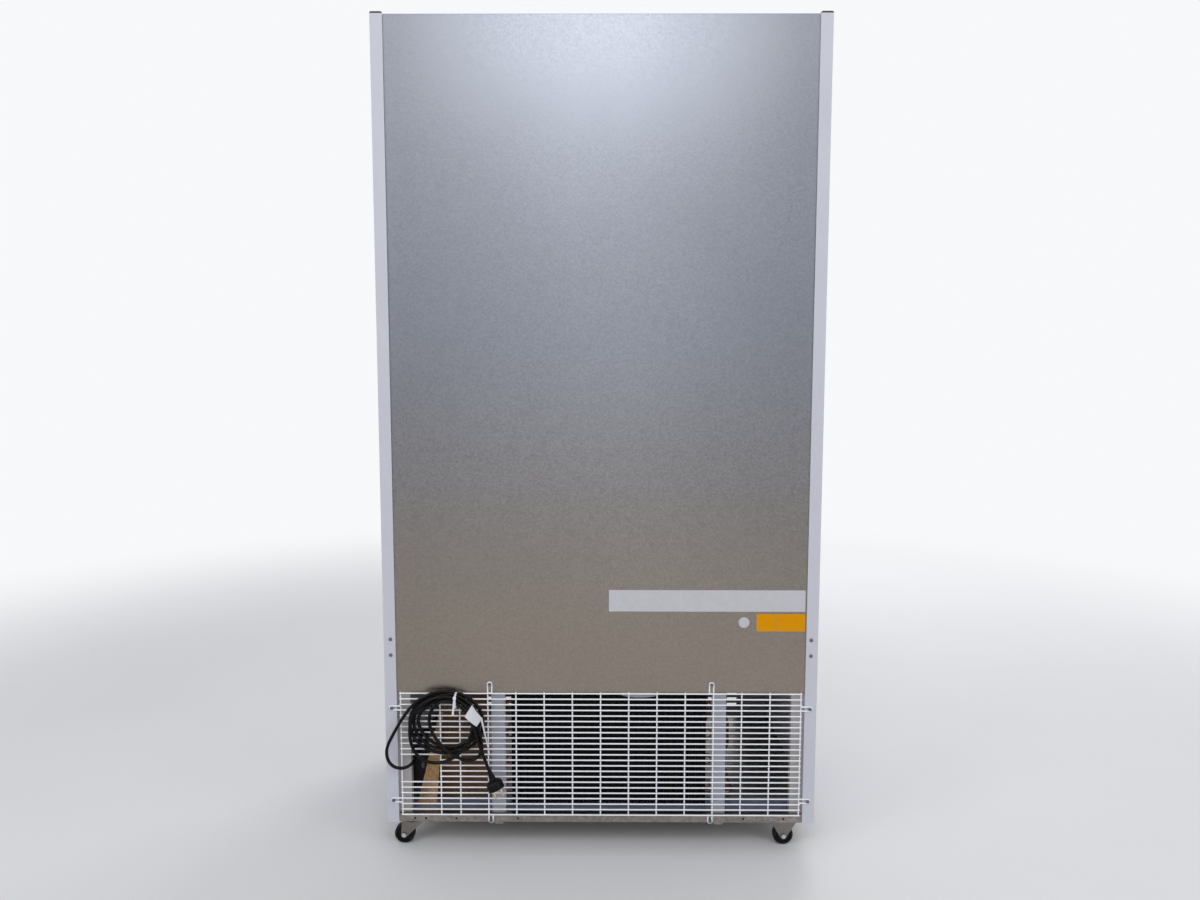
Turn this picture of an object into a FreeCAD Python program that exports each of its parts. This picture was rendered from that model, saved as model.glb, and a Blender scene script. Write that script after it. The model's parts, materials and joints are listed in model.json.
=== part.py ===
"""Upright two-door laboratory refrigerator, seen from the rear in its photograph.

Units are millimetres. +Z is up, the doors face -Y and the rear grille faces +Y.
The origin is on the floor, under the middle of the cabinet with its handles.
"left" and "right" are those of a person who stands before the doors, so left is -X.
"""
import FreeCAD
import Part

import math
import os

V = FreeCAD.Vector

# Cabinet
CABINET_WIDTH = 1050.0
HALF = CABINET_WIDTH / 2
CABINET_TOP = 1990.0
BODY_DEPTH = 620.0
UNDERSIDE = 74.0
RAIL_HEIGHT = 20.0
MACHINE_ROOF = 401.7
ROOF_FLANGE = 14.0
SKIN = 1.0
PLATE = 1.2
CHASSIS_SHEET = 1.5
SEAM = 0.4
FOAM_TOP = CABINET_TOP - 15.0
FOAM_WALL = 60.0

# Rear posts, which are the rear flanges of the side panels
POST_WIDTH = 28.5
POST_LIP = 12.0
PANEL_RECESS = 3.3
PANEL_SHEET = 0.8
PANEL_BOTTOM = 406.0
PANEL_TOP = CABINET_TOP - 5.0
PANEL_HEM = 9.0
CAP_HEIGHT = 4.0
CAP_SPIGOT = 9.0
CAP_CHAMFER = 2.5

# Rear uprights behind the grille
STRIP_WIDTH = 30.0
STRIP_FOLD = 20.0
UPRIGHT_WIDTH = 34.0
UPRIGHT_DEPTH = 16.0
UPRIGHT_SETBACK = 8.0
UPRIGHT_X = (250.5, -290.0)
TAB_WIDTH = 24.0
TAB_DROP = 5.0
CHASSIS_BAY = (30.0, HALF - 150.0)
SERVICE_HOLES = (HALF - 67.0, HALF - 94.0, 356.0, 204.0, -352.0, 74.0 - HALF)
SERVICE_HOLE_RADIUS = 2.6
SERVICE_HOLE_RISE = 9.0

# Rear grille of welded wire
WIRE = 3.5
ROW_COUNT = 23
ROW_PITCH = 14.0
ROW_BOTTOM = 95.0
COLUMN_PITCH = 68.7
GRILLE_HALF = HALF - 37.8
WIRE_END = 2.0
CUTOUT_ROWS = (7, 8, 9, 10)
CUTOUT_X = GRILLE_HALF - 95.9
HAIRPIN_SPACING = 10.0
TOP_EYE_RISE = 22.0
BOTTOM_EYE_DROP = 20.0
SIDE_SCREW_INSET = 16.5
SIDE_SCREW_X = HALF - SIDE_SCREW_INSET
SIDE_EYE_ROWS = (19, 3)
EYE_LEG = 27.0

# Screws
SCREW_SHANK = 2.0
SCREW_LENGTH = 6.0
SCREW_HEAD = 4.4
SCREW_HEAD_HEIGHT = 1.8
SCREW_FIT = 0.1
POST_SCREW_HEIGHTS = (497.8, 537.0)

# Castors
WHEEL_RADIUS = 25.0
WHEEL_WIDTH = 20.0
HUB_LENGTH = 22.0
AXLE_RADIUS = 4.0
AXLE_FIT = 0.06
LEG_SHEET = 2.5
LEG_GAP = 0.4
LEG_TIP_RADIUS = 8.0
FORK_FRONT = 26.0
FORK_BACK = 32.0
CASTOR_PLATE = 2.5
CASTOR_PLATE_SIZE = (76.0, 60.0)
CASTOR_SETBACK = 44.0
FIXED_CASTOR_X = 67.4 - HALF
SWIVEL_CASTOR_X = HALF - 54.0
SWIVEL_TRAIL = 21.0
RACE_RADIUS = 24.0
RACE_HEIGHT = 7.0
SWIVEL_GAP = 0.3
KINGPIN_RADIUS = 6.0
CASTOR_BOLT_RADIUS = 4.0
CASTOR_BOLT_SPACING = (58.0, 44.0)
CASTOR_BOLT_HEAD = 4.0
HEXAGON_RADIUS = 6.5
AXLE_HEAD = 4.5
AXLE_NUT = 4.0
AXLE_END = 3.0
HUB_RADIUS = 9.0
WEB_RADIUS = 18.0
WEB_DISH = 4.0
TYRE_SHOULDER = 3.0
KINGPIN_HEAD = 9.0
KINGPIN_HEAD_HEIGHT = 4.0

# Front frame, doors and hinges
FRAME_DEPTH = 30.0
OPENING_HALF = HALF - 60.0
OPENING_BOTTOM = 460.0
OPENING_TOP = CABINET_TOP - 200.0
MULLION_HALF = 30.0
GASKET_THICKNESS = 10.0
GASKET_WIDTH = 26.0
GASKET_INSET = 17.0
GASKET_FREE_INSET = 3.0
GASKET_NECK = 3.0
DOOR_THICKNESS = 48.0
DOOR_BOTTOM = 400.0
DOOR_TOP = CABINET_TOP - 141.0
DOOR_SIDE_GAP = 1.0
DOOR_MIDDLE_GAP = 1.5
DOOR_BORDER = 62.0
DOOR_EDGE_RADIUS = 4.0
GLASS_THICKNESS = 4.0
GLASS_SPACE = 16.0
GLASS_BITE = 12.0
GLASS_FIT = 0.3
HINGE_INSET = 14.0
HINGE_PIN_RADIUS = 4.0
HINGE_PIN_LENGTH = 12.0
HINGE_FIT = 0.06
HINGE_PLATE = 3.0
HINGE_GAP = 0.5
HINGE_FLANGE = 42.0
HINGE_ARM_WIDTH = 22.0
HINGE_FLANGE_REACH = 24.2

# Handles and locks
HANDLE_REACH = 34.0
HANDLE_BAR = 11.0
HANDLE_WIDTH = 22.0
HANDLE_LENGTH = 420.0
HANDLE_MIDDLE = 1120.0
HANDLE_FOOT = 26.0
HANDLE_BEND = 8.0
HANDLE_FLARE = 8.0
LOCK_RADIUS = 9.0
LOCK_DEPTH = 20.0
LOCK_PROUD = 2.0
LOCK_FIT = 0.06
LOCK_HEIGHT = 860.0
KEY_SLOT = (1.6, 8.0, 6.0)

# Header and controls
HEADER_BOTTOM = CABINET_TOP - 134.0
CONTROLLER_SIZE = (170.0, 62.0)
CONTROLLER_X = 195.0 - HALF
CONTROLLER_DEPTH = 36.0
BEZEL_PROUD = 2.5
BEZEL_LIP = 4.0
DISPLAY_SIZE = (70.0, 30.0)
DISPLAY_RECESS = 1.2
BUTTON_RADIUS = 5.5
BUTTON_FIT = 0.1
BUTTON_PITCH = 20.0
BUTTON_FIRST = 2.0
BUTTON_PROUD = 2.0
BUTTON_TRAVEL = 1.2
BUTTON_LENGTH = 6.0
ROCKER_RADIUS = 13.0
ROCKER_WIDTH = 18.0
ROCKER_FIT = 0.3
ROCKER_PIN_RADIUS = 1.5
ROCKER_PIN_FIT = 0.05
ROCKER_PIN_LENGTH = 2.0
ROCKER_DIP = 6.0
SWITCH_FROM_MIDDLE = 62.0
ROCKER_RISE = 2.0
DISPLAY_MARGIN = 8.0

# Kick grille
KICK_BOTTOM = 78.0
KICK_TOP = 392.0
KICK_DEPTH = 40.0
SLOT_COUNT = 14
SLOT_PITCH = 18.0
SLOT_HEIGHT = 6.0
SLOT_MIDDLE = HALF - 285.0
SLOT_LENGTH = 2 * SLOT_MIDDLE - 100.0
SLOT_LOWEST = 118.0

# Interior
LINER = 1.5
SHELF_LEVELS = (700.0, 960.0, 1220.0, 1480.0)
SHELF_WIDTH = OPENING_HALF - 51.0
SHELF_DEPTH = BODY_DEPTH - 140.0
SHELF_ROD = 3.0
SHELF_BEHIND_MIDDLE = 4.0
SHELF_WIRE = 1.6
SHELF_WIRES = 15
PILASTER_WIDTH = 22.0
PILASTER_DEPTH = 7.0
PILASTER_SHEET = 1.2
PILASTER_BOTTOM = OPENING_BOTTOM + 40.0
PILASTER_TOP = OPENING_TOP - 30.0
PILASTER_FRONT = 60.0
PILASTER_REAR = BODY_DEPTH - 190.0
PILASTER_SLOT = (5.0, 14.0)
PILASTER_SLOT_PITCH = 140.0
CLIP_REACH = 17.0
CLIP_WIDTH = 12.0
CLIP_SHEET = 2.0
CLIP_HEIGHT = 16.0
LIGHT_SIZE = (14.0, 10.0)
LIGHT_LENGTH = OPENING_TOP - OPENING_BOTTOM - 150.0

# Evaporator and its fans
COVER_HALF = OPENING_HALF - 85.0
COVER_FRONT = 100.0
COVER_DEPTH = BODY_DEPTH - 260.0
COVER_DROP = 125.0
FAN_OPENING = 78.0
FAN_X = 190.0
FAN_FRONT = 95.0
GUARD_RING = (38.0, 42.0)
GUARD_BAR = 5.0
RETURN_SLOTS = 4
RETURN_SLOT_HEIGHT = 8.0
RETURN_SLOT_PITCH = 20.0
RETURN_SLOT_LOWEST = 30.0
RETURN_SLOT_MARGIN = 60.0
FAN_TIP = 72.0
FAN_HUB = 22.0
FAN_HUB_LENGTH = 20.0
FAN_RISE = 12.0
FAN_BLADES = 5
FAN_PITCH = 32.0
BLADE_THICKNESS = 2.0
MOTOR_RADIUS = 26.0
MOTOR_LENGTH = 44.0
MOTOR_SHAFT = 3.0
MOTOR_GAP = 6.0
SHAFT_FIT = 0.06
COIL_DEPTH = 120.0
COIL_HEIGHT = 84.0
COIL_FINS = 24
COIL_END_MARGIN = 40.0
COIL_REAR_MARGIN = 30.0
STALK_RADIUS = 9.0

# Condensing unit
PAN_SHEET = 1.2
CONDENSER_X = (-262.0, 222.0)
CONDENSER_Z = (104.0, 380.0)
CONDENSER_SETBACK = 40.0
CONDENSER_DEPTH = 40.0
CONDENSER_FINS = 30
FIN_SHARE = 0.45
GROOVE_DEPTH = 9.0
END_PLATE = 1.5
BEND_RADIUS = 12.5
TUBE_RADIUS = 4.5
BENDS_PER_SIDE = 4
SHROUD_DEPTH = 60.0
SHROUD_SHEET = 1.2
SHROUD_OPENING = 124.0
CONDENSER_FAN_TIP = 116.0
MOTOR_BAR = (14.0, 3.0)
COMPRESSOR_X = 20.0
COMPRESSOR_SETBACK = 330.0
COMPRESSOR_RADIUS = 88.0
COMPRESSOR_HEIGHT = 190.0
COMPRESSOR_FOOT = (230.0, 120.0, 3.0)
COMPRESSOR_LIFT = 10.0
COMPRESSOR_BELLY = 22.0
COMPRESSOR_DOME = 42.0
SEAM_BAND = (3.0, 6.0)
MOUNT_NECK = 5.0
MOUNT_NECK_FIT = 0.1
FAN_SETBACK = 6.0
MOUNT_RADIUS = 14.0
MOUNT_HEIGHT = 16.0
DRIER_RADIUS = 11.0
DRIER_LENGTH = 90.0
DRAIN_PAN_X = -96.0
DRAIN_PAN_RADIUS = 58.0
DRAIN_PAN_HEIGHT = 16.0
DRAIN_PAN_SETBACK = 14.0
DRAIN_PAN_SQUASH = 0.45
PIPE_STANDOFF = 34.0
PIPE_BEND = 16.0
BOARD_THICKNESS = 6.0
BOARD_SETBACK = 50.0
WEDGE_OUTLINE = ((64.0, 0.0), (113.0, 0.0), (131.0, 240.0), (123.0, 240.0))
BACKING_X = (HALF - 236.0, HALF - 111.0)
BACKING_HEIGHT = 288.0
BACKING_SETBACK = 92.0

# Terminal box, gland and mains lead. The lead's routes count from the cabinet's side.
BOX_X = (HALF - 87.0, HALF - 21.0)
BOX_Z = (132.0, 262.0)
BOX_DEPTH = 64.0
BOX_SETBACK = 58.0
BOX_EDGE = 4.0
CORD_RADIUS = 4.0
GLAND_RADIUS = 9.0
GLAND_TIP_RADIUS = 6.2
GLAND_LENGTH = 24.0
GLAND_AT = (BOX_X[0] + 17.0, 234.0)
CORD_FIT = 0.05
LEAD_SEAT = 4.5
CORD_OFF_GRILLE = 9.0
COIL_CENTRE = (HALF - 151.0, 321.0)
COIL_OUTER = (92.0, 86.0)
COIL_HOLE_CENTRE = (COIL_CENTRE[0] - 3.0, 334.0)
COIL_HOLE = (43.0, 55.0)
COIL_THICKNESS = 30.0
COIL_EDGE = 5.0
TIE_X = COIL_CENTRE[0] - 22.0
TIE_WIDTH = 4.8
TIE_STRAP = 1.2
TIE_TAIL = 46.0
PLUG_SEAT = 4.0
PLUG_OUT = 10.0
PLUG_RADIUS = 20.5
PLUG_BODY = 26.0
PLUG_NECK = 9.0
PLUG_RELIEF = 26.0
PIN_RADIUS = 2.4
PIN_LENGTH = 19.0
PIN_SPACING = 19.0
PLUG_TOP = (HALF - 253.0, 219.0)
PLUG_DIRECTION = (-0.40, 0.20, -0.89)

# Planes that the sizes above give
GRILLE_PROUD = 0.2 + WIRE
DOOR_STACK = GASKET_THICKNESS + DOOR_THICKNESS
REAR_Y = (BODY_DEPTH + DOOR_STACK + HANDLE_REACH - GRILLE_PROUD - SCREW_HEAD_HEIGHT) / 2
FRONT_Y = REAR_Y - BODY_DEPTH
DOOR_BACK_Y = FRONT_Y - GASKET_THICKNESS
DOOR_FRONT_Y = DOOR_BACK_Y - DOOR_THICKNESS
SKIN_INNER = HALF - SKIN
POST_INNER = HALF - POST_WIDTH
PANEL_Y = REAR_Y - PANEL_RECESS
RAIL_TOP = UNDERSIDE + RAIL_HEIGHT
PAN_TOP = RAIL_TOP + PAN_SHEET
LINER_FRONT_Y = FRONT_Y + FRAME_DEPTH
LINER_BACK_Y = PANEL_Y - PANEL_SHEET - FOAM_WALL
LINER_TOP = FOAM_TOP - FOAM_WALL
COLUMN_Y = PANEL_Y + WIRE / 2
ROW_Y = COLUMN_Y + WIRE
HINGE_X = HALF - HINGE_INSET
HINGE_Y = (DOOR_BACK_Y + DOOR_FRONT_Y) / 2
HANDLE_X = DOOR_MIDDLE_GAP + DOOR_BORDER / 2
CASTOR_YS = (REAR_Y - CASTOR_SETBACK, FRONT_Y + CASTOR_SETBACK)
CEILING_Z = LINER_TOP - LINER
COVER_BOTTOM = CEILING_Z - COVER_DROP


def block(x, y, z):
    """Box between (low, high) pairs."""
    return Part.makeBox(x[1] - x[0], y[1] - y[0], z[1] - z[0], V(x[0], y[0], z[0]))


def rod(radius, start, end):
    """Round bar between two points."""
    return Part.makeCylinder(radius, start.distanceToPoint(end), start, end - start)


def slab(outline, thickness):
    """Flat outline made thick along a vector."""
    return Part.Face(Part.makePolygon(outline + [outline[0]])).extrude(thickness)


def folded_sheet(path, thickness, place, run):
    """Sheet folded along a path of 2D points, with its thickness to the left of the path."""
    offset = []
    for index, (u, v) in enumerate(path):
        normals = []
        for first in (index - 1, index):
            if 0 <= first < len(path) - 1:
                du = path[first + 1][0] - path[first][0]
                dv = path[first + 1][1] - path[first][1]
                length = math.hypot(du, dv)
                normals.append((-dv / length, du / length))
        nu = sum(normal[0] for normal in normals)
        nv = sum(normal[1] for normal in normals)
        scale = thickness * len(normals) / (nu * nu + nv * nv)
        offset.append((u + nu * scale, v + nv * scale))
    outline = [place(u, v) for u, v in path + offset[::-1]]
    return slab(outline, run)


def turned_profile(profile, axis):
    """Solid of revolution of (radius, along) points about Y or Z through the origin."""
    points = [axis * along + V(radius, 0, 0) for radius, along in profile]
    return Part.Face(Part.makePolygon(points + [points[0]])).revolve(V(0, 0, 0), axis, 360)


def mirrored(shape):
    """Mirror image across the middle plane of the cabinet."""
    return shape.mirror(V(0, 0, 0), V(1, 0, 0))


def turned(shape, centre, axis, angle):
    """Copy of a shape turned about an axis, in degrees."""
    copy = shape.copy()
    copy.rotate(centre, axis, angle)
    return copy


def moved(shape, x=0.0, y=0.0, z=0.0):
    """Copy of a shape moved along the axes."""
    copy = shape.copy()
    copy.translate(V(x, y, z))
    return copy


def bent_path(points, radii):
    """Straight runs through points, joined by tangent arcs of the given radii."""
    edges = []
    start = points[0]
    for before, corner, after, radius in zip(points, points[1:], points[2:], radii):
        inward = (corner - before).normalize()
        outward = (after - corner).normalize()
        turn = inward.getAngle(outward)
        trim = radius * math.tan(turn / 2)
        arc_start = corner - inward * trim
        arc_end = corner + outward * trim
        bisector = (outward - inward).normalize()
        middle = corner + bisector * (radius / math.cos(turn / 2) - radius)
        if start.distanceToPoint(arc_start) > 1e-6:
            edges.append(Part.LineSegment(start, arc_start).toShape())
        edges.append(Part.Arc(arc_start, middle, arc_end).toShape())
        start = arc_end
    edges.append(Part.LineSegment(start, points[-1]).toShape())
    return Part.Wire(edges)


def round_bar(path, radius):
    """Bar of round section along a path of lines and arcs."""
    edge = path.Edges[0]
    start = edge.valueAt(edge.FirstParameter)
    along = edge.tangentAt(edge.FirstParameter)
    section = Part.Wire(Part.makeCircle(radius, start, along))
    return path.makePipeShell([section], True, False)


def loose_radii(points):
    """Arc radii of a slack lead: as large as the two runs at each point allow."""
    radii = []
    for before, corner, after in zip(points, points[1:], points[2:]):
        turn = (corner - before).getAngle(after - corner)
        shorter = min(before.distanceToPoint(corner), corner.distanceToPoint(after))
        radii.append(0.45 * shorter / math.tan(turn / 2))
    return radii


def side_panel():
    """Right side skin, with the rear post flange, its lip and a front flange."""
    path = [
        (POST_INNER, REAR_Y - POST_LIP),
        (POST_INNER, REAR_Y),
        (HALF, REAR_Y),
        (HALF, FRONT_Y),
    ]
    skin = folded_sheet(path[::-1], SKIN, lambda x, y: V(x, y, UNDERSIDE),
                        V(0, 0, CABINET_TOP - UNDERSIDE))
    return cut_screws(skin)


def screw_seats():
    """Under-head points of the rear screws: grille eyes first, then the post screws."""
    seats = []
    top_row = row_height(ROW_COUNT - 1)
    for side in (1, -1):
        eye_x = side * (4 * COLUMN_PITCH - HAIRPIN_SPACING / 2)
        flat_y = COLUMN_Y + WIRE / 2
        seats.append(V(eye_x, flat_y, top_row + TOP_EYE_RISE))
        seats.append(V(eye_x, flat_y, ROW_BOTTOM - BOTTOM_EYE_DROP + WIRE))
        for row, rise in zip(SIDE_EYE_ROWS, (1, -1)):
            height = row_height(row) + rise * HAIRPIN_SPACING / 2
            seats.append(V(side * SIDE_SCREW_X, ROW_Y + WIRE / 2, height))
        for height in POST_SCREW_HEIGHTS:
            seats.append(V(side * SIDE_SCREW_X, REAR_Y, height))
    return seats


def rear_screws():
    """Pan-head screws that hold the grille and the side panels."""
    screws = []
    for seat in screw_seats():
        tip = V(seat.x, REAR_Y - PANEL_RECESS - SCREW_LENGTH, seat.z)
        head = rod(SCREW_HEAD, seat, seat + V(0, SCREW_HEAD_HEIGHT, 0))
        rim = max(head.Edges, key=lambda edge: edge.CenterOfMass.y)
        head = head.makeFillet(SCREW_HEAD_HEIGHT / 2, [rim])
        screws.append(head.fuse(rod(SCREW_SHANK, tip, seat)).removeSplitter())
    return screws


def cut_screws(shape):
    """Shape with the holes of the rear screws in it."""
    for seat in screw_seats():
        start = V(seat.x, REAR_Y - PANEL_RECESS - SCREW_LENGTH - 1, seat.z)
        hole = rod(SCREW_SHANK + SCREW_FIT, start, seat)
        if shape.BoundBox.intersect(hole.BoundBox):
            shape = shape.cut(hole)
    return shape


def back_panel():
    """Galvanised rear panel between the posts, hemmed forward all round."""
    half = POST_INNER - SEAM
    shell = block((-half, half), (PANEL_Y - PANEL_HEM, PANEL_Y), (PANEL_BOTTOM, PANEL_TOP))
    hollow = block((-half + PANEL_SHEET, half - PANEL_SHEET),
                   (PANEL_Y - PANEL_HEM - 1, PANEL_Y - PANEL_SHEET),
                   (PANEL_BOTTOM + PANEL_SHEET, PANEL_TOP - PANEL_SHEET))
    return cut_screws(shell.cut(hollow))


def post_caps():
    """Dark end caps with a spigot down into each rear post."""
    caps = []
    for side in (1, -1):
        top = CABINET_TOP + CAP_HEIGHT
        outline = [
            V(POST_INNER, 0, CABINET_TOP),
            V(HALF, 0, CABINET_TOP),
            V(HALF, 0, top - CAP_CHAMFER),
            V(HALF - CAP_CHAMFER, 0, top),
            V(POST_INNER + CAP_CHAMFER, 0, top),
            V(POST_INNER, 0, top - CAP_CHAMFER),
        ]
        cap = moved(slab(outline, V(0, POST_WIDTH, 0)), y=REAR_Y - POST_WIDTH)
        spigot = block((POST_INNER + SKIN + SEAM, SKIN_INNER - SEAM),
                       (REAR_Y - POST_LIP + SEAM, REAR_Y - SKIN - SEAM),
                       (CABINET_TOP - CAP_SPIGOT, CABINET_TOP))
        cap = cap.fuse(spigot).removeSplitter()
        caps.append(cap if side > 0 else mirrored(cap))
    return caps


def top_panel():
    """Top sheet on the foam, with upturned edges beside the skins."""
    half = SKIN_INNER - SEAM
    rise = CABINET_TOP - FOAM_TOP - CAP_SPIGOT / 2
    path = [(-half, FOAM_TOP + rise), (-half, FOAM_TOP), (half, FOAM_TOP), (half, FOAM_TOP + rise)]
    start = FRONT_Y
    depth = REAR_Y - POST_LIP - SEAM - start
    return folded_sheet(path, SKIN, lambda x, z: V(x, start, z), V(0, depth, 0))


def liner_outer():
    """Space that the liner takes in the foam."""
    half = OPENING_HALF + LINER
    return block((-half, half), (LINER_FRONT_Y, LINER_BACK_Y), (OPENING_BOTTOM - LINER, LINER_TOP))


def foam_body():
    """Foam between the liner and the skins."""
    body = block((-SKIN_INNER, SKIN_INNER), (LINER_FRONT_Y, REAR_Y - POST_LIP - SEAM),
                 (MACHINE_ROOF, FOAM_TOP))
    half = POST_INNER - SEAM - PANEL_SHEET - SEAM
    pad = block((-half, half), (LINER_BACK_Y, PANEL_Y - PANEL_SHEET),
                (PANEL_BOTTOM + PANEL_SHEET + SEAM, FOAM_TOP))
    return cut_screws(body.fuse(pad).cut(liner_outer()).removeSplitter())


def inner_liner():
    """White inner liner, open to the front."""
    hollow = block((-OPENING_HALF, OPENING_HALF), (LINER_FRONT_Y - 1, LINER_BACK_Y - LINER),
                   (OPENING_BOTTOM, CEILING_Z))
    return liner_outer().cut(hollow)


def front_frame():
    """Frame round the two door openings, with the middle mullion."""
    frame = block((-SKIN_INNER, SKIN_INNER), (FRONT_Y, LINER_FRONT_Y), (MACHINE_ROOF, FOAM_TOP))
    for side in (1, -1):
        span = sorted((side * MULLION_HALF, side * OPENING_HALF))
        opening = block(span, (FRONT_Y - 1, LINER_FRONT_Y + 1), (OPENING_BOTTOM, OPENING_TOP))
        corners = [edge for edge in opening.Edges if abs(edge.tangentAt(0).y) > 0.9]
        frame = frame.cut(opening.makeFillet(6.0, corners))
    return frame


def compartment_roof():
    """Sheet between the foam and the machine compartment, turned down at its sides."""
    start = FRONT_Y
    depth = REAR_Y - POST_LIP - SEAM - start
    half = SKIN_INNER - SEAM
    low = MACHINE_ROOF - ROOF_FLANGE
    path = [(half, low), (half, MACHINE_ROOF), (-half, MACHINE_ROOF), (-half, low)]
    return folded_sheet(path, PLATE, lambda x, z: V(x, start, z), V(0, depth, 0))


def rail_tabs():
    """Outlines of the rounded tabs under the rear rail, with a bolt hole each."""
    tabs = []
    low = UNDERSIDE - TAB_DROP
    radius = TAB_WIDTH / 2
    for x in UPRIGHT_X:
        tab = block((x - radius, x + radius), (PANEL_Y - CHASSIS_SHEET, PANEL_Y),
                    (low, UNDERSIDE + 1))
        corners = [edge for edge in tab.Edges
                   if abs(edge.tangentAt(0).y) > 0.9 and edge.CenterOfMass.z < UNDERSIDE]
        tabs.append(tab.makeFillet(TAB_DROP * 0.8, corners))
    return tabs


def base_frame():
    """Galvanised chassis tray with notched rear corners, castor lands and service holes."""
    outer = block((-SKIN_INNER, SKIN_INNER), (FRONT_Y, PANEL_Y), (UNDERSIDE, RAIL_TOP))
    inner = block((-SKIN_INNER + CHASSIS_SHEET, SKIN_INNER - CHASSIS_SHEET),
                  (FRONT_Y + CHASSIS_SHEET, PANEL_Y - CHASSIS_SHEET),
                  (UNDERSIDE + CHASSIS_SHEET, RAIL_TOP + 1))
    frame = outer.cut(inner)
    land = 2 * CASTOR_SETBACK
    for middle in (1, -1):
        bay = sorted((middle * CHASSIS_BAY[0], middle * CHASSIS_BAY[1]))
        frame = frame.cut(block(bay, (FRONT_Y + land, PANEL_Y - land),
                                (UNDERSIDE - 1, UNDERSIDE + CHASSIS_SHEET + 1)))
    notch = POST_LIP + SEAM - PANEL_RECESS
    for side in (1, -1):
        span = sorted((side * (POST_INNER - SEAM), side * (HALF + 1)))
        frame = frame.cut(block(span, (PANEL_Y - notch, PANEL_Y + 1),
                                (UNDERSIDE - 1, RAIL_TOP + 1)))
    height = UNDERSIDE + SERVICE_HOLE_RISE
    for x in SERVICE_HOLES:
        frame = frame.cut(rod(SERVICE_HOLE_RADIUS, V(x, PANEL_Y - 5, height), V(x, PANEL_Y + 5, height)))
    for tab in rail_tabs():
        frame = frame.fuse(tab)
    for x, y in castor_bolt_points():
        frame = frame.cut(rod(CASTOR_BOLT_RADIUS + SCREW_FIT, V(x, y, UNDERSIDE - 1),
                              V(x, y, UNDERSIDE + CHASSIS_SHEET + 1)))
    return cut_screws(frame.removeSplitter())


def base_pan():
    """Galvanised floor of the machine compartment, on the chassis."""
    half = SKIN_INNER - SEAM
    rear = REAR_Y - POST_LIP - SEAM
    pan = block((-half, half), (FRONT_Y, rear), (RAIL_TOP, PAN_TOP))
    tongue = block((-POST_INNER + SEAM, POST_INNER - SEAM), (rear, PANEL_Y), (RAIL_TOP, PAN_TOP))
    return pan.fuse(tongue).removeSplitter()


def side_strips():
    """Galvanised strips that close the compartment beside the grille."""
    height = MACHINE_ROOF - PLATE - PAN_TOP
    rear = REAR_Y - POST_LIP - SEAM
    inner = POST_INNER - STRIP_WIDTH
    path = [(inner, rear - STRIP_FOLD), (inner, rear), (SKIN_INNER - 2 * PLATE, rear)]
    strip = folded_sheet(path[::-1], PLATE, lambda x, y: V(x, y, PAN_TOP), V(0, 0, height))
    return [strip, mirrored(strip)]


def rear_uprights():
    """Grey channel posts between the compartment floor and its roof."""
    posts = []
    height = MACHINE_ROOF - PLATE - PAN_TOP
    face = PANEL_Y - UPRIGHT_SETBACK
    for x in UPRIGHT_X:
        left = x - UPRIGHT_WIDTH / 2
        right = x + UPRIGHT_WIDTH / 2
        path = [(left, face - UPRIGHT_DEPTH), (left, face),
                (right, face), (right, face - UPRIGHT_DEPTH)]
        posts.append(folded_sheet(path[::-1], CHASSIS_SHEET, lambda u, v: V(u, v, PAN_TOP),
                                  V(0, 0, height)))
    return posts


def row_height(row):
    """Height of a horizontal wire of the grille, counted from the lowest."""
    return ROW_BOTTOM + row * ROW_PITCH


def hairpin(points):
    """Wire that turns back on itself round a screw."""
    return round_bar(bent_path(points, [HAIRPIN_SPACING / 2 - 0.01] * (len(points) - 2)), WIRE / 2)


def column_wire(x, eyes):
    """Vertical wire of the grille; with eyes its ends return beside themselves."""
    top_row = row_height(ROW_COUNT - 1)
    if not eyes:
        return rod(WIRE / 2, V(x, COLUMN_Y, ROW_BOTTOM - WIRE_END),
                   V(x, COLUMN_Y, top_row + WIRE_END))
    inward = x - math.copysign(HAIRPIN_SPACING, x)
    top = top_row + TOP_EYE_RISE + HAIRPIN_SPACING / 2
    bottom = ROW_BOTTOM - BOTTOM_EYE_DROP + WIRE - HAIRPIN_SPACING / 2
    points = [
        V(inward, COLUMN_Y, ROW_BOTTOM - WIRE_END),
        V(inward, COLUMN_Y, bottom),
        V(x, COLUMN_Y, bottom),
        V(x, COLUMN_Y, top),
        V(inward, COLUMN_Y, top),
        V(inward, COLUMN_Y, top_row - WIRE_END),
    ]
    return hairpin(points)


def row_wire(row):
    """Horizontal wire of the grille; some rows end in eyes on the posts."""
    height = row_height(row)
    right = CUTOUT_X + WIRE_END if row in CUTOUT_ROWS else GRILLE_HALF + WIRE_END
    if row not in SIDE_EYE_ROWS:
        return rod(WIRE / 2, V(-GRILLE_HALF - WIRE_END, ROW_Y, height), V(right, ROW_Y, height))
    rise = HAIRPIN_SPACING if row == max(SIDE_EYE_ROWS) else -HAIRPIN_SPACING
    reach = SIDE_SCREW_X + HAIRPIN_SPACING / 2
    tail = reach - EYE_LEG
    points = [
        V(-tail, ROW_Y, height + rise),
        V(-reach, ROW_Y, height + rise),
        V(-reach, ROW_Y, height),
        V(reach, ROW_Y, height),
        V(reach, ROW_Y, height + rise),
        V(tail, ROW_Y, height + rise),
    ]
    return hairpin(points)


def rear_grille():
    """White welded wire grille: columns inside, rows outside, eyes bent from the wires."""
    wires = [row_wire(row) for row in range(ROW_COUNT)]
    for column in range(-6, 7):
        x = column * COLUMN_PITCH
        if column == 6:
            x = CUTOUT_X
        wires.append(column_wire(x, abs(column) == 4))
    for side in (1, -1):
        wires.append(column_wire(side * GRILLE_HALF, False))
    return wires


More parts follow.
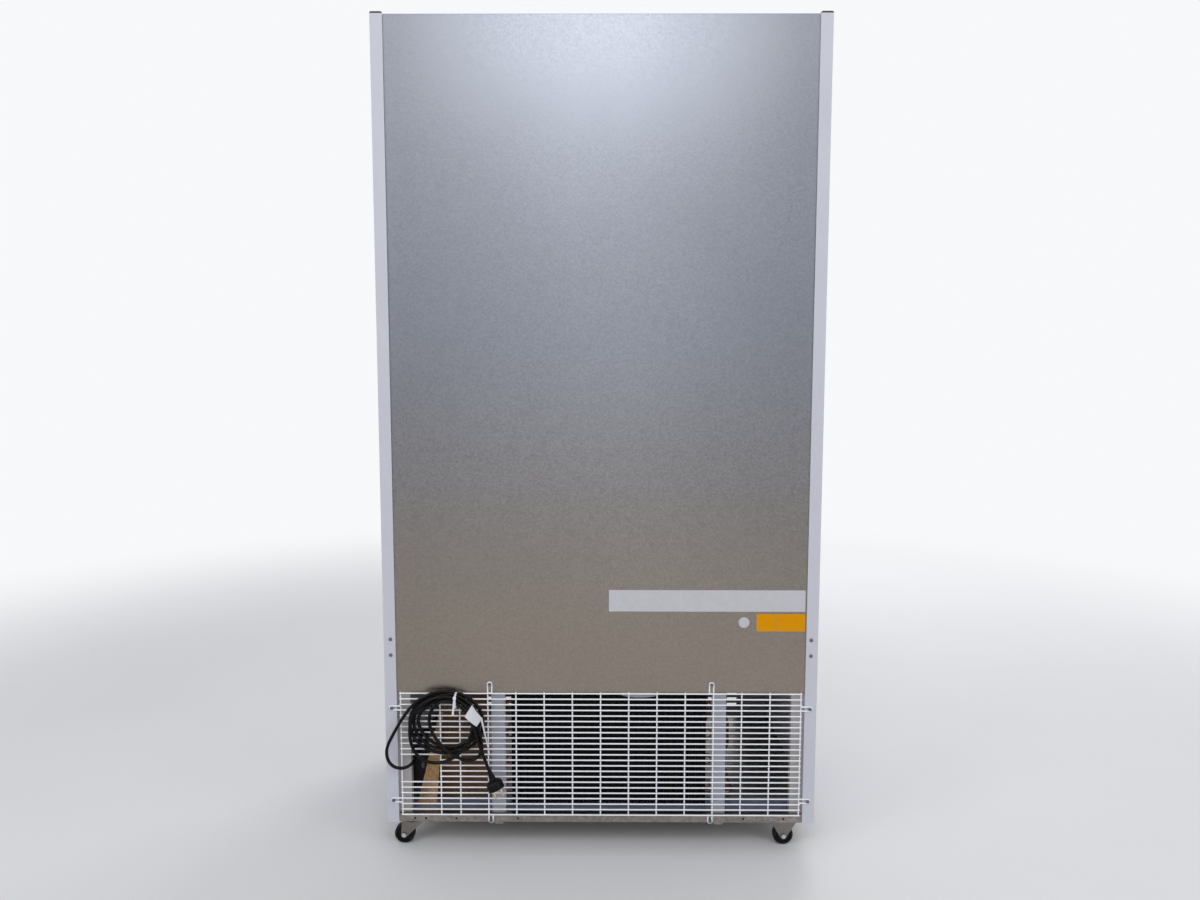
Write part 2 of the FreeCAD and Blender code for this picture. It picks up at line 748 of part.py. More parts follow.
def castor_bolt_points():
    """Places of the bolts of the four castor plates."""
    points = []
    for x in (FIXED_CASTOR_X, SWIVEL_CASTOR_X):
        for y in CASTOR_YS:
            for side_x in (-1, 1):
                for side_y in (-1, 1):
                    points.append((x + side_x * CASTOR_BOLT_SPACING[0] / 2,
                                   y + side_y * CASTOR_BOLT_SPACING[1] / 2))
    return points


def castor_plate(x, y):
    """Top plate of a castor with its bolt holes."""
    long, wide = CASTOR_PLATE_SIZE
    right = min(x + long / 2, SKIN_INNER)
    plate = block((x - long / 2, right), (y - wide / 2, y + wide / 2),
                  (UNDERSIDE - CASTOR_PLATE, UNDERSIDE))
    for bolt_x, bolt_y in castor_bolt_points():
        plate = plate.cut(rod(CASTOR_BOLT_RADIUS + SCREW_FIT, V(bolt_x, bolt_y, UNDERSIDE - 5),
                              V(bolt_x, bolt_y, UNDERSIDE + 5)))
    return plate


def castor_leg(left, right, axle, tip_radius, y):
    """Leg of a castor: straight sides from two top corners, tangent to a round tip at the axle."""
    touches = []
    for corner, side in ((left, 1), (right, -1)):
        away = corner - axle
        angle = math.atan2(away.z, away.x) + side * math.acos(tip_radius / away.Length)
        touches.append(axle + V(math.cos(angle), 0, math.sin(angle)) * tip_radius)
    web = slab([left, touches[0], touches[1], right], V(0, LEG_SHEET, 0))
    tip = Part.makeCylinder(tip_radius, LEG_SHEET, axle, V(0, 1, 0))
    return moved(web.fuse(tip).removeSplitter(), y=y)


def leg_planes(y):
    """Inner starts of the two legs of a castor about its wheel."""
    half = HUB_LENGTH / 2 + LEG_GAP
    return (y - half - LEG_SHEET, y + half)


def fixed_castor_bracket(y):
    """Fixed castor: plate and two tapered legs."""
    x = FIXED_CASTOR_X
    bracket = castor_plate(x, y)
    low = UNDERSIDE - CASTOR_PLATE
    half = CASTOR_PLATE_SIZE[0] / 2
    axle = V(x, 0, WHEEL_RADIUS)
    for start in leg_planes(y):
        leg = castor_leg(V(x - half, 0, low), V(x + half, 0, low), axle, LEG_TIP_RADIUS, start)
        bracket = bracket.fuse(leg.cut(axle_hole(x, y)))
    return bracket.removeSplitter()


def axle_hole(x, y):
    """Hole of an axle bolt through both legs."""
    return rod(AXLE_RADIUS + SCREW_FIT, V(x, y - 30, WHEEL_RADIUS), V(x, y + 30, WHEEL_RADIUS))


def hexagon(radius, centre, across, up):
    """Corners of a hexagon about a point, in the plane of two unit vectors."""
    angles = [math.radians(step) for step in range(0, 360, 60)]
    return [centre + across * (radius * math.cos(angle)) + up * (radius * math.sin(angle))
            for angle in angles]


def axle_bolt(x, y):
    """Axle bolt with its head and a nut outside the legs."""
    reach = HUB_LENGTH / 2 + LEG_GAP + LEG_SHEET
    bolt = rod(AXLE_RADIUS, V(x, y - reach - AXLE_END, WHEEL_RADIUS),
               V(x, y + reach + AXLE_END, WHEEL_RADIUS))
    for start, height in ((y - reach - AXLE_HEAD, AXLE_HEAD), (y + reach, AXLE_NUT)):
        outline = hexagon(HEXAGON_RADIUS, V(x, start, WHEEL_RADIUS), V(1, 0, 0), V(0, 0, 1))
        bolt = bolt.fuse(slab(outline, V(0, height, 0)))
    return bolt.removeSplitter()


def castor_bolts():
    """Bolts that hold the castor plates to the chassis."""
    bolts = []
    for x, y in castor_bolt_points():
        shank = rod(CASTOR_BOLT_RADIUS, V(x, y, UNDERSIDE - CASTOR_PLATE - 0.5),
                    V(x, y, UNDERSIDE + CHASSIS_SHEET + 6))
        seat = V(x, y, UNDERSIDE - CASTOR_PLATE - CASTOR_BOLT_HEAD)
        outline = hexagon(HEXAGON_RADIUS, seat, V(1, 0, 0), V(0, 1, 0))
        head = slab(outline, V(0, 0, CASTOR_BOLT_HEAD))
        bolts.append(shank.fuse(head).removeSplitter())
    return bolts


def swivel_castor_plate(y):
    """Plate, ball race housing and kingpin that stay on the cabinet."""
    x = SWIVEL_CASTOR_X
    plate = castor_plate(x, y)
    low = UNDERSIDE - CASTOR_PLATE
    race = Part.makeCone(RACE_RADIUS - 4, RACE_RADIUS, RACE_HEIGHT, V(x, y, low - RACE_HEIGHT))
    head_top = low - RACE_HEIGHT - CASTOR_PLATE - 2 * SWIVEL_GAP
    pin = rod(KINGPIN_RADIUS, V(x, y, head_top - 1), V(x, y, low))
    head = rod(KINGPIN_HEAD, V(x, y, head_top - KINGPIN_HEAD_HEIGHT), V(x, y, head_top))
    return plate.fuse(race).fuse(pin).fuse(head).removeSplitter()


def swivel_fork(y):
    """Turning fork of a swivel castor, with the wheel's axle ahead of the kingpin."""
    x = SWIVEL_CASTOR_X
    axle_x = x + SWIVEL_TRAIL
    top = UNDERSIDE - CASTOR_PLATE - RACE_HEIGHT - SWIVEL_GAP
    low = top - CASTOR_PLATE
    crown = rod(RACE_RADIUS + 3, V(x, y, low), V(x, y, top))
    axle = V(axle_x, 0, WHEEL_RADIUS)
    for start in leg_planes(y):
        leg = castor_leg(V(x - FORK_BACK, 0, top), V(x + FORK_FRONT, 0, top), axle,
                         LEG_TIP_RADIUS, start)
        crown = crown.fuse(leg.cut(axle_hole(axle_x, y)))
    crown = crown.cut(rod(KINGPIN_RADIUS + AXLE_FIT, V(x, y, low - 1), V(x, y, top + 1)))
    return crown.removeSplitter()


def wheel(x, y):
    """Rubber-tyred wheel: tyre with round shoulders, thin web and a hub."""
    half = WHEEL_WIDTH / 2
    hub = HUB_LENGTH / 2
    bore = AXLE_RADIUS + AXLE_FIT
    side = [(bore, hub), (HUB_RADIUS, hub), (HUB_RADIUS, half - WEB_DISH),
            (WEB_RADIUS, half - WEB_DISH), (WEB_RADIUS + 1, half),
            (WHEEL_RADIUS - TYRE_SHOULDER, half), (WHEEL_RADIUS, half - TYRE_SHOULDER)]
    profile = side + [(radius, -along) for radius, along in side[::-1]]
    return moved(turned_profile(profile, V(0, 1, 0)), x, y, WHEEL_RADIUS)


def door_frame():
    """Right door frame with grooves for two panes, hinge bores and a lock bore."""
    x = (DOOR_MIDDLE_GAP, HALF - DOOR_SIDE_GAP)
    outer = block(x, (DOOR_FRONT_Y, DOOR_BACK_Y), (DOOR_BOTTOM, DOOR_TOP))
    front_edges = [edge for edge in outer.Edges if abs(edge.CenterOfMass.y - DOOR_FRONT_Y) < 1e-6]
    outer = outer.makeFillet(DOOR_EDGE_RADIUS, front_edges)
    window = glass_span(0.0)
    frame = outer.cut(block(window[0], (DOOR_FRONT_Y - 1, DOOR_BACK_Y + 1), window[1]))
    groove = glass_span(GLASS_BITE + GLASS_FIT)
    for start in glass_planes():
        depth_span = (start - GLASS_FIT / 2, start + GLASS_THICKNESS + GLASS_FIT / 2)
        frame = frame.cut(block(groove[0], depth_span, groove[1]))
    pin = HINGE_PIN_RADIUS + HINGE_FIT
    depth = HINGE_PIN_LENGTH + 1
    for low, high in ((DOOR_BOTTOM - 1, DOOR_BOTTOM + depth), (DOOR_TOP - depth, DOOR_TOP + 1)):
        frame = frame.cut(rod(pin, V(HINGE_X, HINGE_Y, low), V(HINGE_X, HINGE_Y, high)))
    lock = rod(LOCK_RADIUS + LOCK_FIT, V(HANDLE_X, DOOR_FRONT_Y - 1, LOCK_HEIGHT),
               V(HANDLE_X, DOOR_FRONT_Y + LOCK_DEPTH, LOCK_HEIGHT))
    return frame.cut(lock)


def glass_span(bite):
    """Glass extent in X and Z, grown past the frame's window by a bite."""
    low_x = DOOR_MIDDLE_GAP + DOOR_BORDER - bite
    high_x = HALF - DOOR_SIDE_GAP - DOOR_BORDER + bite
    return ((low_x, high_x), (DOOR_BOTTOM + DOOR_BORDER - bite, DOOR_TOP - DOOR_BORDER + bite))


def glass_planes():
    """Front faces of the two panes."""
    middle = (DOOR_FRONT_Y + DOOR_BACK_Y) / 2
    return (middle - GLASS_SPACE / 2 - GLASS_THICKNESS, middle + GLASS_SPACE / 2)


def door_glass():
    """Two panes of the right door."""
    span = glass_span(GLASS_BITE)
    return [block(span[0], (start, start + GLASS_THICKNESS), span[1]) for start in glass_planes()]


def gasket_ring(inset, y):
    """Rectangular ring of the gasket, inset from its outline, over a span of Y."""
    high_x = HALF - GASKET_INSET
    low_x = DOOR_MIDDLE_GAP + GASKET_FREE_INSET
    low_z = DOOR_BOTTOM + GASKET_INSET
    high_z = DOOR_TOP - GASKET_INSET
    outer = block((low_x + inset, high_x - inset), y, (low_z + inset, high_z - inset))
    inner = GASKET_WIDTH - inset
    return outer.cut(block((low_x + inner, high_x - inner), (y[0] - 1, y[1] + 1),
                           (low_z + inner, high_z - inner)))


def door_gasket():
    """Magnetic gasket of the right door: base strip, narrow bellows and magnet strip."""
    third = GASKET_THICKNESS / 3
    planes = [DOOR_BACK_Y + step * third for step in range(4)]
    base = gasket_ring(0.0, (planes[0], planes[1]))
    bellows = gasket_ring(GASKET_NECK, (planes[1], planes[2]))
    magnet = gasket_ring(0.0, (planes[2], planes[3]))
    return base.fuse([bellows, magnet]).removeSplitter()


def door_handle():
    """Bridge handle of the right door: a flat bar bent at both ends onto its feet."""
    low = HANDLE_MIDDLE - HANDLE_LENGTH / 2
    high = HANDLE_MIDDLE + HANDLE_LENGTH / 2
    front = DOOR_FRONT_Y - HANDLE_REACH
    back = DOOR_FRONT_Y
    outline = [V(0, back, low), V(0, front, low), V(0, front, high), V(0, back, high),
               V(0, back, high - HANDLE_FOOT),
               V(0, front + HANDLE_BAR, high - HANDLE_FOOT - HANDLE_FLARE),
               V(0, front + HANDLE_BAR, low + HANDLE_FOOT + HANDLE_FLARE), V(0, back, low + HANDLE_FOOT)]
    bar = moved(slab(outline, V(HANDLE_WIDTH, 0, 0)), x=HANDLE_X - HANDLE_WIDTH / 2)
    bends = [edge for edge in bar.Edges
             if abs(edge.tangentAt(0).x) > 0.9 and edge.CenterOfMass.y < back - 1]
    return bar.makeFillet(HANDLE_BEND, bends)


def door_lock():
    """Lock cylinder with a key slot."""
    front = DOOR_FRONT_Y - LOCK_PROUD
    cylinder = rod(LOCK_RADIUS, V(HANDLE_X, front, LOCK_HEIGHT),
                   V(HANDLE_X, DOOR_FRONT_Y + LOCK_DEPTH - SEAM, LOCK_HEIGHT))
    rim = min(cylinder.Edges, key=lambda edge: edge.CenterOfMass.y)
    cylinder = cylinder.makeChamfer(0.8, [rim])
    wide, tall, deep = KEY_SLOT
    slot = block((HANDLE_X - wide / 2, HANDLE_X + wide / 2), (front - 1, front + deep),
                 (LOCK_HEIGHT - tall / 2, LOCK_HEIGHT + tall / 2))
    return cylinder.cut(slot)


def hinge_flange_spaces():
    """Room for the hinge flanges in the covers above and below the doors."""
    spaces = []
    for side in (1, -1):
        x = sorted((side * (HINGE_X - HINGE_FLANGE_REACH - SEAM),
                    side * (HINGE_X + HINGE_ARM_WIDTH / 2 + SEAM)))
        y = (FRONT_Y - HINGE_PLATE - SEAM, FRONT_Y + 1)
        spaces.append(block(x, y, (KICK_TOP - 5, KICK_TOP + 1)))
        spaces.append(block(x, y, (HEADER_BOTTOM - 1, HEADER_BOTTOM + 5)))
    return Part.makeCompound(spaces)


def hinge_brackets():
    """Hinge brackets of both doors: a flange on the body, an arm and a pin each."""
    brackets = []
    reach = HINGE_Y - HINGE_ARM_WIDTH / 2
    for plate_low, flange_up, pin_up in (
            (DOOR_BOTTOM - HINGE_GAP - HINGE_PLATE, False, True),
            (DOOR_TOP + HINGE_GAP, True, False)):
        plate_z = (plate_low, plate_low + HINGE_PLATE)
        half = HINGE_ARM_WIDTH / 2
        arm = block((HINGE_X - half, HINGE_X + half), (reach, FRONT_Y), plate_z)
        tips = [edge for edge in arm.Edges
                if abs(edge.tangentAt(0).z) > 0.9 and edge.CenterOfMass.y < reach + 1]
        arm = arm.makeFillet(half * 0.9, tips)
        if flange_up:
            flange_z = (plate_z[0], plate_z[1] + HINGE_FLANGE)
        else:
            flange_z = (plate_z[0] - HINGE_FLANGE, plate_z[1])
        flange = block((HINGE_X - HINGE_FLANGE_REACH, HINGE_X + half),
                       (FRONT_Y - HINGE_PLATE, FRONT_Y), flange_z)
        start = plate_z[1] if pin_up else plate_z[0]
        end = start + (HINGE_PIN_LENGTH if pin_up else -HINGE_PIN_LENGTH)
        pin = rod(HINGE_PIN_RADIUS, V(HINGE_X, HINGE_Y, start), V(HINGE_X, HINGE_Y, end))
        bracket = arm.fuse(flange).fuse(pin).removeSplitter()
        brackets += [bracket, mirrored(bracket)]
    return brackets


def header_panel():
    """Header cover over the doors, open to the rear, with cut-outs for the controls."""
    half = SKIN_INNER
    outer = block((-half, half), (DOOR_FRONT_Y, FRONT_Y), (HEADER_BOTTOM, CABINET_TOP))
    front_edges = [edge for edge in outer.Edges if abs(edge.CenterOfMass.y - DOOR_FRONT_Y) < 1e-6]
    outer = outer.makeFillet(DOOR_EDGE_RADIUS, front_edges)
    hollow = block((-half + PLATE, half - PLATE), (DOOR_FRONT_Y + PLATE, FRONT_Y + 1),
                   (HEADER_BOTTOM + PLATE, CABINET_TOP - PLATE))
    panel = outer.cut(hollow)
    return panel.cut(controller_space(SEAM)).cut(hinge_flange_spaces())


def controller_middle():
    """Height of the middle of the controls."""
    return (HEADER_BOTTOM + CABINET_TOP) / 2


def controller_space(grow):
    """Body of the controller behind the header's face."""
    wide, tall = CONTROLLER_SIZE
    middle = controller_middle()
    return block((CONTROLLER_X - wide / 2 - grow, CONTROLLER_X + wide / 2 + grow),
                 (DOOR_FRONT_Y - 1, DOOR_FRONT_Y + CONTROLLER_DEPTH),
                 (middle - tall / 2 - grow, middle + tall / 2 + grow))


def button_points():
    """Middles of the three setting buttons."""
    middle = controller_middle()
    first = CONTROLLER_X + BUTTON_FIRST
    return [(first + step * BUTTON_PITCH, middle) for step in range(3)]


def bezel_front():
    """Front plane of the controller's bezel."""
    return DOOR_FRONT_Y - BEZEL_PROUD


def switch_place():
    """Pivot of the rocker switch."""
    return V(CONTROLLER_X + SWITCH_FROM_MIDDLE, bezel_front() + ROCKER_DIP, controller_middle())


def controller_housing():
    """Controller: bezel, recessed display, button bores and the rocker's well."""
    wide, tall = CONTROLLER_SIZE
    middle = controller_middle()
    front = bezel_front()
    body = controller_space(0.0)
    body = body.cut(block((CONTROLLER_X - wide, CONTROLLER_X + wide),
                          (DOOR_FRONT_Y - 2, DOOR_FRONT_Y), (middle - tall, middle + tall)))
    bezel = block((CONTROLLER_X - wide / 2 - BEZEL_LIP, CONTROLLER_X + wide / 2 + BEZEL_LIP),
                  (front, DOOR_FRONT_Y),
                  (middle - tall / 2 - BEZEL_LIP, middle + tall / 2 + BEZEL_LIP))
    rim = [edge for edge in bezel.Edges if abs(edge.CenterOfMass.y - front) < 1e-6]
    bezel = bezel.makeFillet(BEZEL_PROUD * 0.6, rim)
    body = body.fuse(bezel)
    show_x = CONTROLLER_X - wide / 2 + DISPLAY_MARGIN
    show = block((show_x, show_x + DISPLAY_SIZE[0]), (front - 1, front + DISPLAY_RECESS),
                 (middle - DISPLAY_SIZE[1] / 2, middle + DISPLAY_SIZE[1] / 2))
    body = body.cut(show)
    depth = BUTTON_LENGTH - BUTTON_PROUD + BUTTON_TRAVEL + 0.4
    for x, z in button_points():
        body = body.cut(rod(BUTTON_RADIUS + BUTTON_FIT, V(x, front - 1, z), V(x, front + depth, z)))
    pivot = switch_place()
    well_half = ROCKER_WIDTH / 2 + ROCKER_FIT
    well_radius = ROCKER_RADIUS + ROCKER_FIT
    body = body.cut(block((pivot.x - well_half, pivot.x + well_half),
                          (front - 1, pivot.y + well_radius),
                          (pivot.z - well_radius, pivot.z + well_radius)))
    reach = well_half + ROCKER_PIN_LENGTH
    bore = rod(ROCKER_PIN_RADIUS + ROCKER_PIN_FIT, pivot - V(reach, 0, 0), pivot + V(reach, 0, 0))
    return body.cut(bore)


def power_switch():
    """Rocker of the mains switch, with its pivot pins."""
    pivot = switch_place()
    half = ROCKER_WIDTH / 2
    rocker = rod(ROCKER_RADIUS, pivot - V(half, 0, 0), pivot + V(half, 0, 0))
    front = bezel_front()
    for side in (1, -1):
        edge = side * (ROCKER_RADIUS + 2)
        wedge = slab([V(pivot.x - half - 1, front + 1.0, pivot.z),
                      V(pivot.x - half - 1, front - ROCKER_RISE, pivot.z + edge),
                      V(pivot.x - half - 1, front - 30, pivot.z + edge),
                      V(pivot.x - half - 1, front - 30, pivot.z)], V(ROCKER_WIDTH + 2, 0, 0))
        rocker = rocker.cut(wedge)
    reach = half + ROCKER_FIT + ROCKER_PIN_LENGTH - 0.3
    pins = rod(ROCKER_PIN_RADIUS, pivot - V(reach, 0, 0), pivot + V(reach, 0, 0))
    return rocker.fuse(pins).removeSplitter()


def button(x, z):
    """Round setting button with a soft front edge."""
    front = bezel_front() - BUTTON_PROUD
    shape = rod(BUTTON_RADIUS, V(x, front, z), V(x, front + BUTTON_LENGTH, z))
    rim = min(shape.Edges, key=lambda edge: edge.CenterOfMass.y)
    return shape.makeFillet(0.8, [rim])


def kick_grille():
    """Cover of the machine compartment below the doors, with rows of air slots."""
    half = SKIN_INNER
    front = FRONT_Y - KICK_DEPTH
    outer = block((-half, half), (front, FRONT_Y), (KICK_BOTTOM, KICK_TOP))
    front_edges = [edge for edge in outer.Edges if abs(edge.CenterOfMass.y - front) < 1e-6]
    outer = outer.makeFillet(DOOR_EDGE_RADIUS, front_edges)
    hollow = block((-half + PLATE, half - PLATE), (front + PLATE, FRONT_Y + 1),
                   (KICK_BOTTOM + PLATE, KICK_TOP - PLATE))
    cover = outer.cut(hollow)
    slots = []
    for side in (1, -1):
        for row in range(SLOT_COUNT):
            low = SLOT_LOWEST + row * SLOT_PITCH
            span = (side * SLOT_MIDDLE - SLOT_LENGTH / 2, side * SLOT_MIDDLE + SLOT_LENGTH / 2)
            slots.append(block(span, (front - 1, front + PLATE + 1), (low, low + SLOT_HEIGHT)))
    return cover.cut(Part.makeCompound(slots)).cut(hinge_flange_spaces())


def hex_rod(radius, start, end):
    """Six-sided rod between two points along X or Y."""
    along = end - start
    across = V(0, 1, 0) if abs(along.x) > abs(along.y) else V(1, 0, 0)
    return slab(hexagon(radius, start, across, V(0, 0, 1)), along)


def wire_shelf():
    """One wire shelf: a rod frame, a middle rod and cross wires welded on top."""
    left, right = -SHELF_WIDTH / 2, SHELF_WIDTH / 2
    front, back = -SHELF_DEPTH / 2, SHELF_DEPTH / 2
    rods = [
        hex_rod(SHELF_ROD, V(left, front, 0), V(right, front, 0)),
        hex_rod(SHELF_ROD, V(left, back, 0), V(right, back, 0)),
        hex_rod(SHELF_ROD, V(left, 0, 0), V(right, 0, 0)),
        hex_rod(SHELF_ROD, V(left, front - SHELF_ROD, 0), V(left, back + SHELF_ROD, 0)),
        hex_rod(SHELF_ROD, V(right, front - SHELF_ROD, 0), V(right, back + SHELF_ROD, 0)),
    ]
    pitch = SHELF_WIDTH / (SHELF_WIRES + 1)
    height = SHELF_ROD * math.sin(math.radians(60))
    for index in range(SHELF_WIRES):
        x = left + (index + 1) * pitch
        rods.append(hex_rod(SHELF_WIRE, V(x, front - SHELF_ROD, height), V(x, back + SHELF_ROD, height)))
    return rods[0].multiFuse(rods[1:]).removeSplitter()


def shelf_centres():
    """X and Y middles of the two columns of shelves."""
    inner = MULLION_HALF / 2
    outer = OPENING_HALF - PILASTER_DEPTH
    x = (inner + outer) / 2
    return (-x, x), LINER_FRONT_Y + (PILASTER_FRONT + PILASTER_REAR) / 2 + SHELF_BEHIND_MIDDLE


def wire_shelves():
    """Four levels of shelves in two columns."""
    shelf = wire_shelf()
    xs, y = shelf_centres()
    return [moved(shelf, x, y, level) for x in xs for level in SHELF_LEVELS]


def pilaster_places():
    """Wall face X, direction into the room and middle Y of each shelf pilaster."""
    places = []
    for side in (1, -1):
        for back in (PILASTER_FRONT, PILASTER_REAR):
            places.append((side * OPENING_HALF, -side, LINER_FRONT_Y + back))
    return places


def shelf_pilasters():
    """Slotted channels on the side walls, and a middle post with channels both sides."""
    pilasters = []
    height = PILASTER_TOP - PILASTER_BOTTOM
    half = PILASTER_WIDTH / 2
    slot_wide, slot_tall = PILASTER_SLOT
    slots = []
    step = PILASTER_BOTTOM + PILASTER_SLOT_PITCH / 2
    while step < PILASTER_TOP - slot_tall:
        slots.append(step)
        step += PILASTER_SLOT_PITCH
    for x, inward, y in pilaster_places():
        face = x + inward * PILASTER_DEPTH
        path = [(x, y - half), (face, y - half), (face, y + half), (x, y + half)]
        if inward < 0:
            path = path[::-1]
        channel = folded_sheet(path, PILASTER_SHEET, lambda u, v: V(u, v, PILASTER_BOTTOM),
                               V(0, 0, height))
        cuts = [block(sorted((face - inward * 3, face + inward * 3)),
                      (y - slot_wide / 2, y + slot_wide / 2), (z, z + slot_tall)) for z in slots]
        pilasters.append(channel.cut(Part.makeCompound(cuts)))
    for back in (PILASTER_FRONT, PILASTER_REAR):
        y = LINER_FRONT_Y + back
        half_x = MULLION_HALF / 2
        path = [(-half_x, y - half), (half_x, y - half), (half_x, y + half), (-half_x, y + half),
                (-half_x, y - half + PILASTER_SHEET + SEAM)]
        post = folded_sheet(path, PILASTER_SHEET, lambda u, v: V(u, v, OPENING_BOTTOM),
                            V(0, 0, COVER_BOTTOM - OPENING_BOTTOM))
        pilasters.append(post)
    return pilasters


def shelf_clips():
    """Angle clips on the pilasters under the shelf corners."""
    clips = []
    low = -SHELF_ROD * math.sin(math.radians(60)) - CLIP_SHEET
    xs, shelf_y = shelf_centres()
    seats = [(x + inward * PILASTER_DEPTH, inward, y) for x, inward, y in pilaster_places()]
    for back in (PILASTER_FRONT, PILASTER_REAR):
        for side in (1, -1):
            seats.append((side * MULLION_HALF / 2, side, LINER_FRONT_Y + back))
    for face, inward, y in seats:
        for level in SHELF_LEVELS:
            outline = [V(face, y - CLIP_WIDTH / 2, level + low + CLIP_SHEET),
                       V(face + inward * CLIP_REACH, y - CLIP_WIDTH / 2, level + low + CLIP_SHEET),
                       V(face + inward * CLIP_REACH, y - CLIP_WIDTH / 2, level + low),
                       V(face + inward * CLIP_SHEET, y - CLIP_WIDTH / 2, level + low),
                       V(face + inward * CLIP_SHEET, y - CLIP_WIDTH / 2, level + low - CLIP_HEIGHT),
                       V(face, y - CLIP_WIDTH / 2, level + low - CLIP_HEIGHT)]
            clips.append(slab(outline, V(0, CLIP_WIDTH, 0)))
    return clips


def light_strips():
    """Strip lights up both sides behind the front frame."""
    strips = []
    wide, deep = LIGHT_SIZE
    low = (OPENING_BOTTOM + OPENING_TOP - LIGHT_LENGTH) / 2
    for side in (1, -1):
        x = side * OPENING_HALF
        outline = [V(x, LINER_FRONT_Y + 4, low), V(x, LINER_FRONT_Y + 4 + wide, low),
                   V(x - side * deep * 0.4, LINER_FRONT_Y + 4 + wide, low),
                   V(x - side * deep, LINER_FRONT_Y + 4 + wide * 0.55, low),
                   V(x - side * deep, LINER_FRONT_Y + 4, low)]
        strips.append(slab(outline, V(0, 0, LIGHT_LENGTH)))
    return strips


def cover_span():
    """Y extent of the evaporator cover."""
    start = LINER_FRONT_Y + COVER_FRONT
    return (start, start + COVER_DEPTH)


def fan_y():
    """Y of the evaporator fans."""
    return cover_span()[0] + FAN_FRONT


def evaporator_cover():
    """Cover under the evaporator, with a guarded opening below each fan."""
    span = cover_span()
    outer = block((-COVER_HALF, COVER_HALF), span, (COVER_BOTTOM, CEILING_Z))
    inner = block((-COVER_HALF + PLATE, COVER_HALF - PLATE), (span[0] + PLATE, span[1] - PLATE),
                  (COVER_BOTTOM + PLATE, CEILING_Z + 1))
    cover = outer.cut(inner)
    for side in (1, -1):
        middle = V(side * FAN_X, fan_y(), COVER_BOTTOM - 1)
        opening = Part.makeCylinder(FAN_OPENING, PLATE + 2, middle)
        guard = Part.makeCylinder(GUARD_RING[1], PLATE + 2, middle).cut(
            Part.makeCylinder(GUARD_RING[0], PLATE + 2, middle))
        for turn in (0, 90):
            bar = block((middle.x - FAN_OPENING, middle.x + FAN_OPENING),
                        (middle.y - GUARD_BAR / 2, middle.y + GUARD_BAR / 2),
                        (middle.z, middle.z + PLATE + 2))
            guard = guard.fuse(turned(bar, middle, V(0, 0, 1), turn + 45))
        cover = cover.cut(opening.cut(guard))
    grille_y = span[1] - PLATE - 1
    half = COVER_HALF - RETURN_SLOT_MARGIN
    for row in range(RETURN_SLOTS):
        low = COVER_BOTTOM + RETURN_SLOT_LOWEST + row * RETURN_SLOT_PITCH
        cover = cover.cut(block((-half, half), (grille_y, span[1] + 1), (low, low + RETURN_SLOT_HEIGHT)))
    return cover


def finned_block(x, y, z, fins, groove):
    """Heat exchanger core: a block whose front and back are cut into fins."""
    pitch = (x[1] - x[0]) / fins
    thick = pitch * FIN_SHARE
    front = []
    back = []
    for index in range(fins):
        start = x[0] + index * pitch
        end = start + thick if index < fins - 1 else x[1]
        front += [(start, y[0]), (end, y[0])]
        back += [(start, y[1]), (end, y[1])]
        if index < fins - 1:
            following = start + pitch
            front += [(end, y[0] + groove), (following, y[0] + groove)]
            back += [(end, y[1] - groove), (following, y[1] - groove)]
    outline = [V(u, v, z[0]) for u, v in front + back[::-1]]
    return slab(outline, V(0, 0, z[1] - z[0]))


def evaporator_coil():
    """Finned evaporator above the rear part of its cover."""
    span = cover_span()
    back = span[1] - COIL_REAR_MARGIN
    half = COVER_HALF - COIL_END_MARGIN
    return finned_block((-half, half), (back - COIL_DEPTH, back),
                        (CEILING_Z - COIL_HEIGHT, CEILING_Z), COIL_FINS, GROOVE_DEPTH)


def fan(centre, axis_z, tip, hub, bore):
    """Axial fan: a hub with pitched blades, first built about Z at the origin."""
    half = FAN_HUB_LENGTH / 2
    blades = []
    for index in range(FAN_BLADES):
        sections = []
        for radius, pitch, chord in ((hub - 3, FAN_PITCH + 10, hub * 0.9),
                                     (tip, FAN_PITCH - 6, tip * 0.62)):
            along = math.radians(pitch)
            run = V(0, math.cos(along), math.sin(along))
            lift = V(0, -math.sin(along), math.cos(along)) * (BLADE_THICKNESS / 2)
            middle = V(radius, 0, 0)
            chord = min(chord, (FAN_HUB_LENGTH - 3) / math.sin(along))
            corners = [middle - run * chord / 2 - lift, middle + run * chord / 2 - lift,
                       middle + run * chord / 2 + lift, middle - run * chord / 2 + lift]
            sections.append(Part.makePolygon(corners + [corners[0]]))
        blade = Part.makeLoft(sections, True, True)
        blades.append(turned(blade, V(0, 0, 0), V(0, 0, 1), index * 360.0 / FAN_BLADES))
    core = Part.makeCylinder(hub, FAN_HUB_LENGTH, V(0, 0, -half))
    wheel_shape = core.multiFuse(blades).removeSplitter()
    wheel_shape = wheel_shape.cut(Part.makeCylinder(bore, FAN_HUB_LENGTH + 2, V(0, 0, -half - 1)))
    if not axis_z:
        wheel_shape = turned(wheel_shape, V(0, 0, 0), V(1, 0, 0), 90)
    return moved(wheel_shape, centre.x, centre.y, centre.z)


def evaporator_fan_place(side):
    """Middle of an evaporator fan."""
    return V(side * FAN_X, fan_y(), COVER_BOTTOM + PLATE + FAN_RISE + FAN_HUB_LENGTH / 2)


def condenser_fan_place():
    """Middle of the condenser fan, in the opening of its shroud."""
    x = (CONDENSER_X[0] + CONDENSER_X[1]) / 2
    z = (CONDENSER_Z[0] + CONDENSER_Z[1]) / 2
    return V(x, shroud_span()[0] + FAN_HUB_LENGTH / 2 + FAN_SETBACK, z)


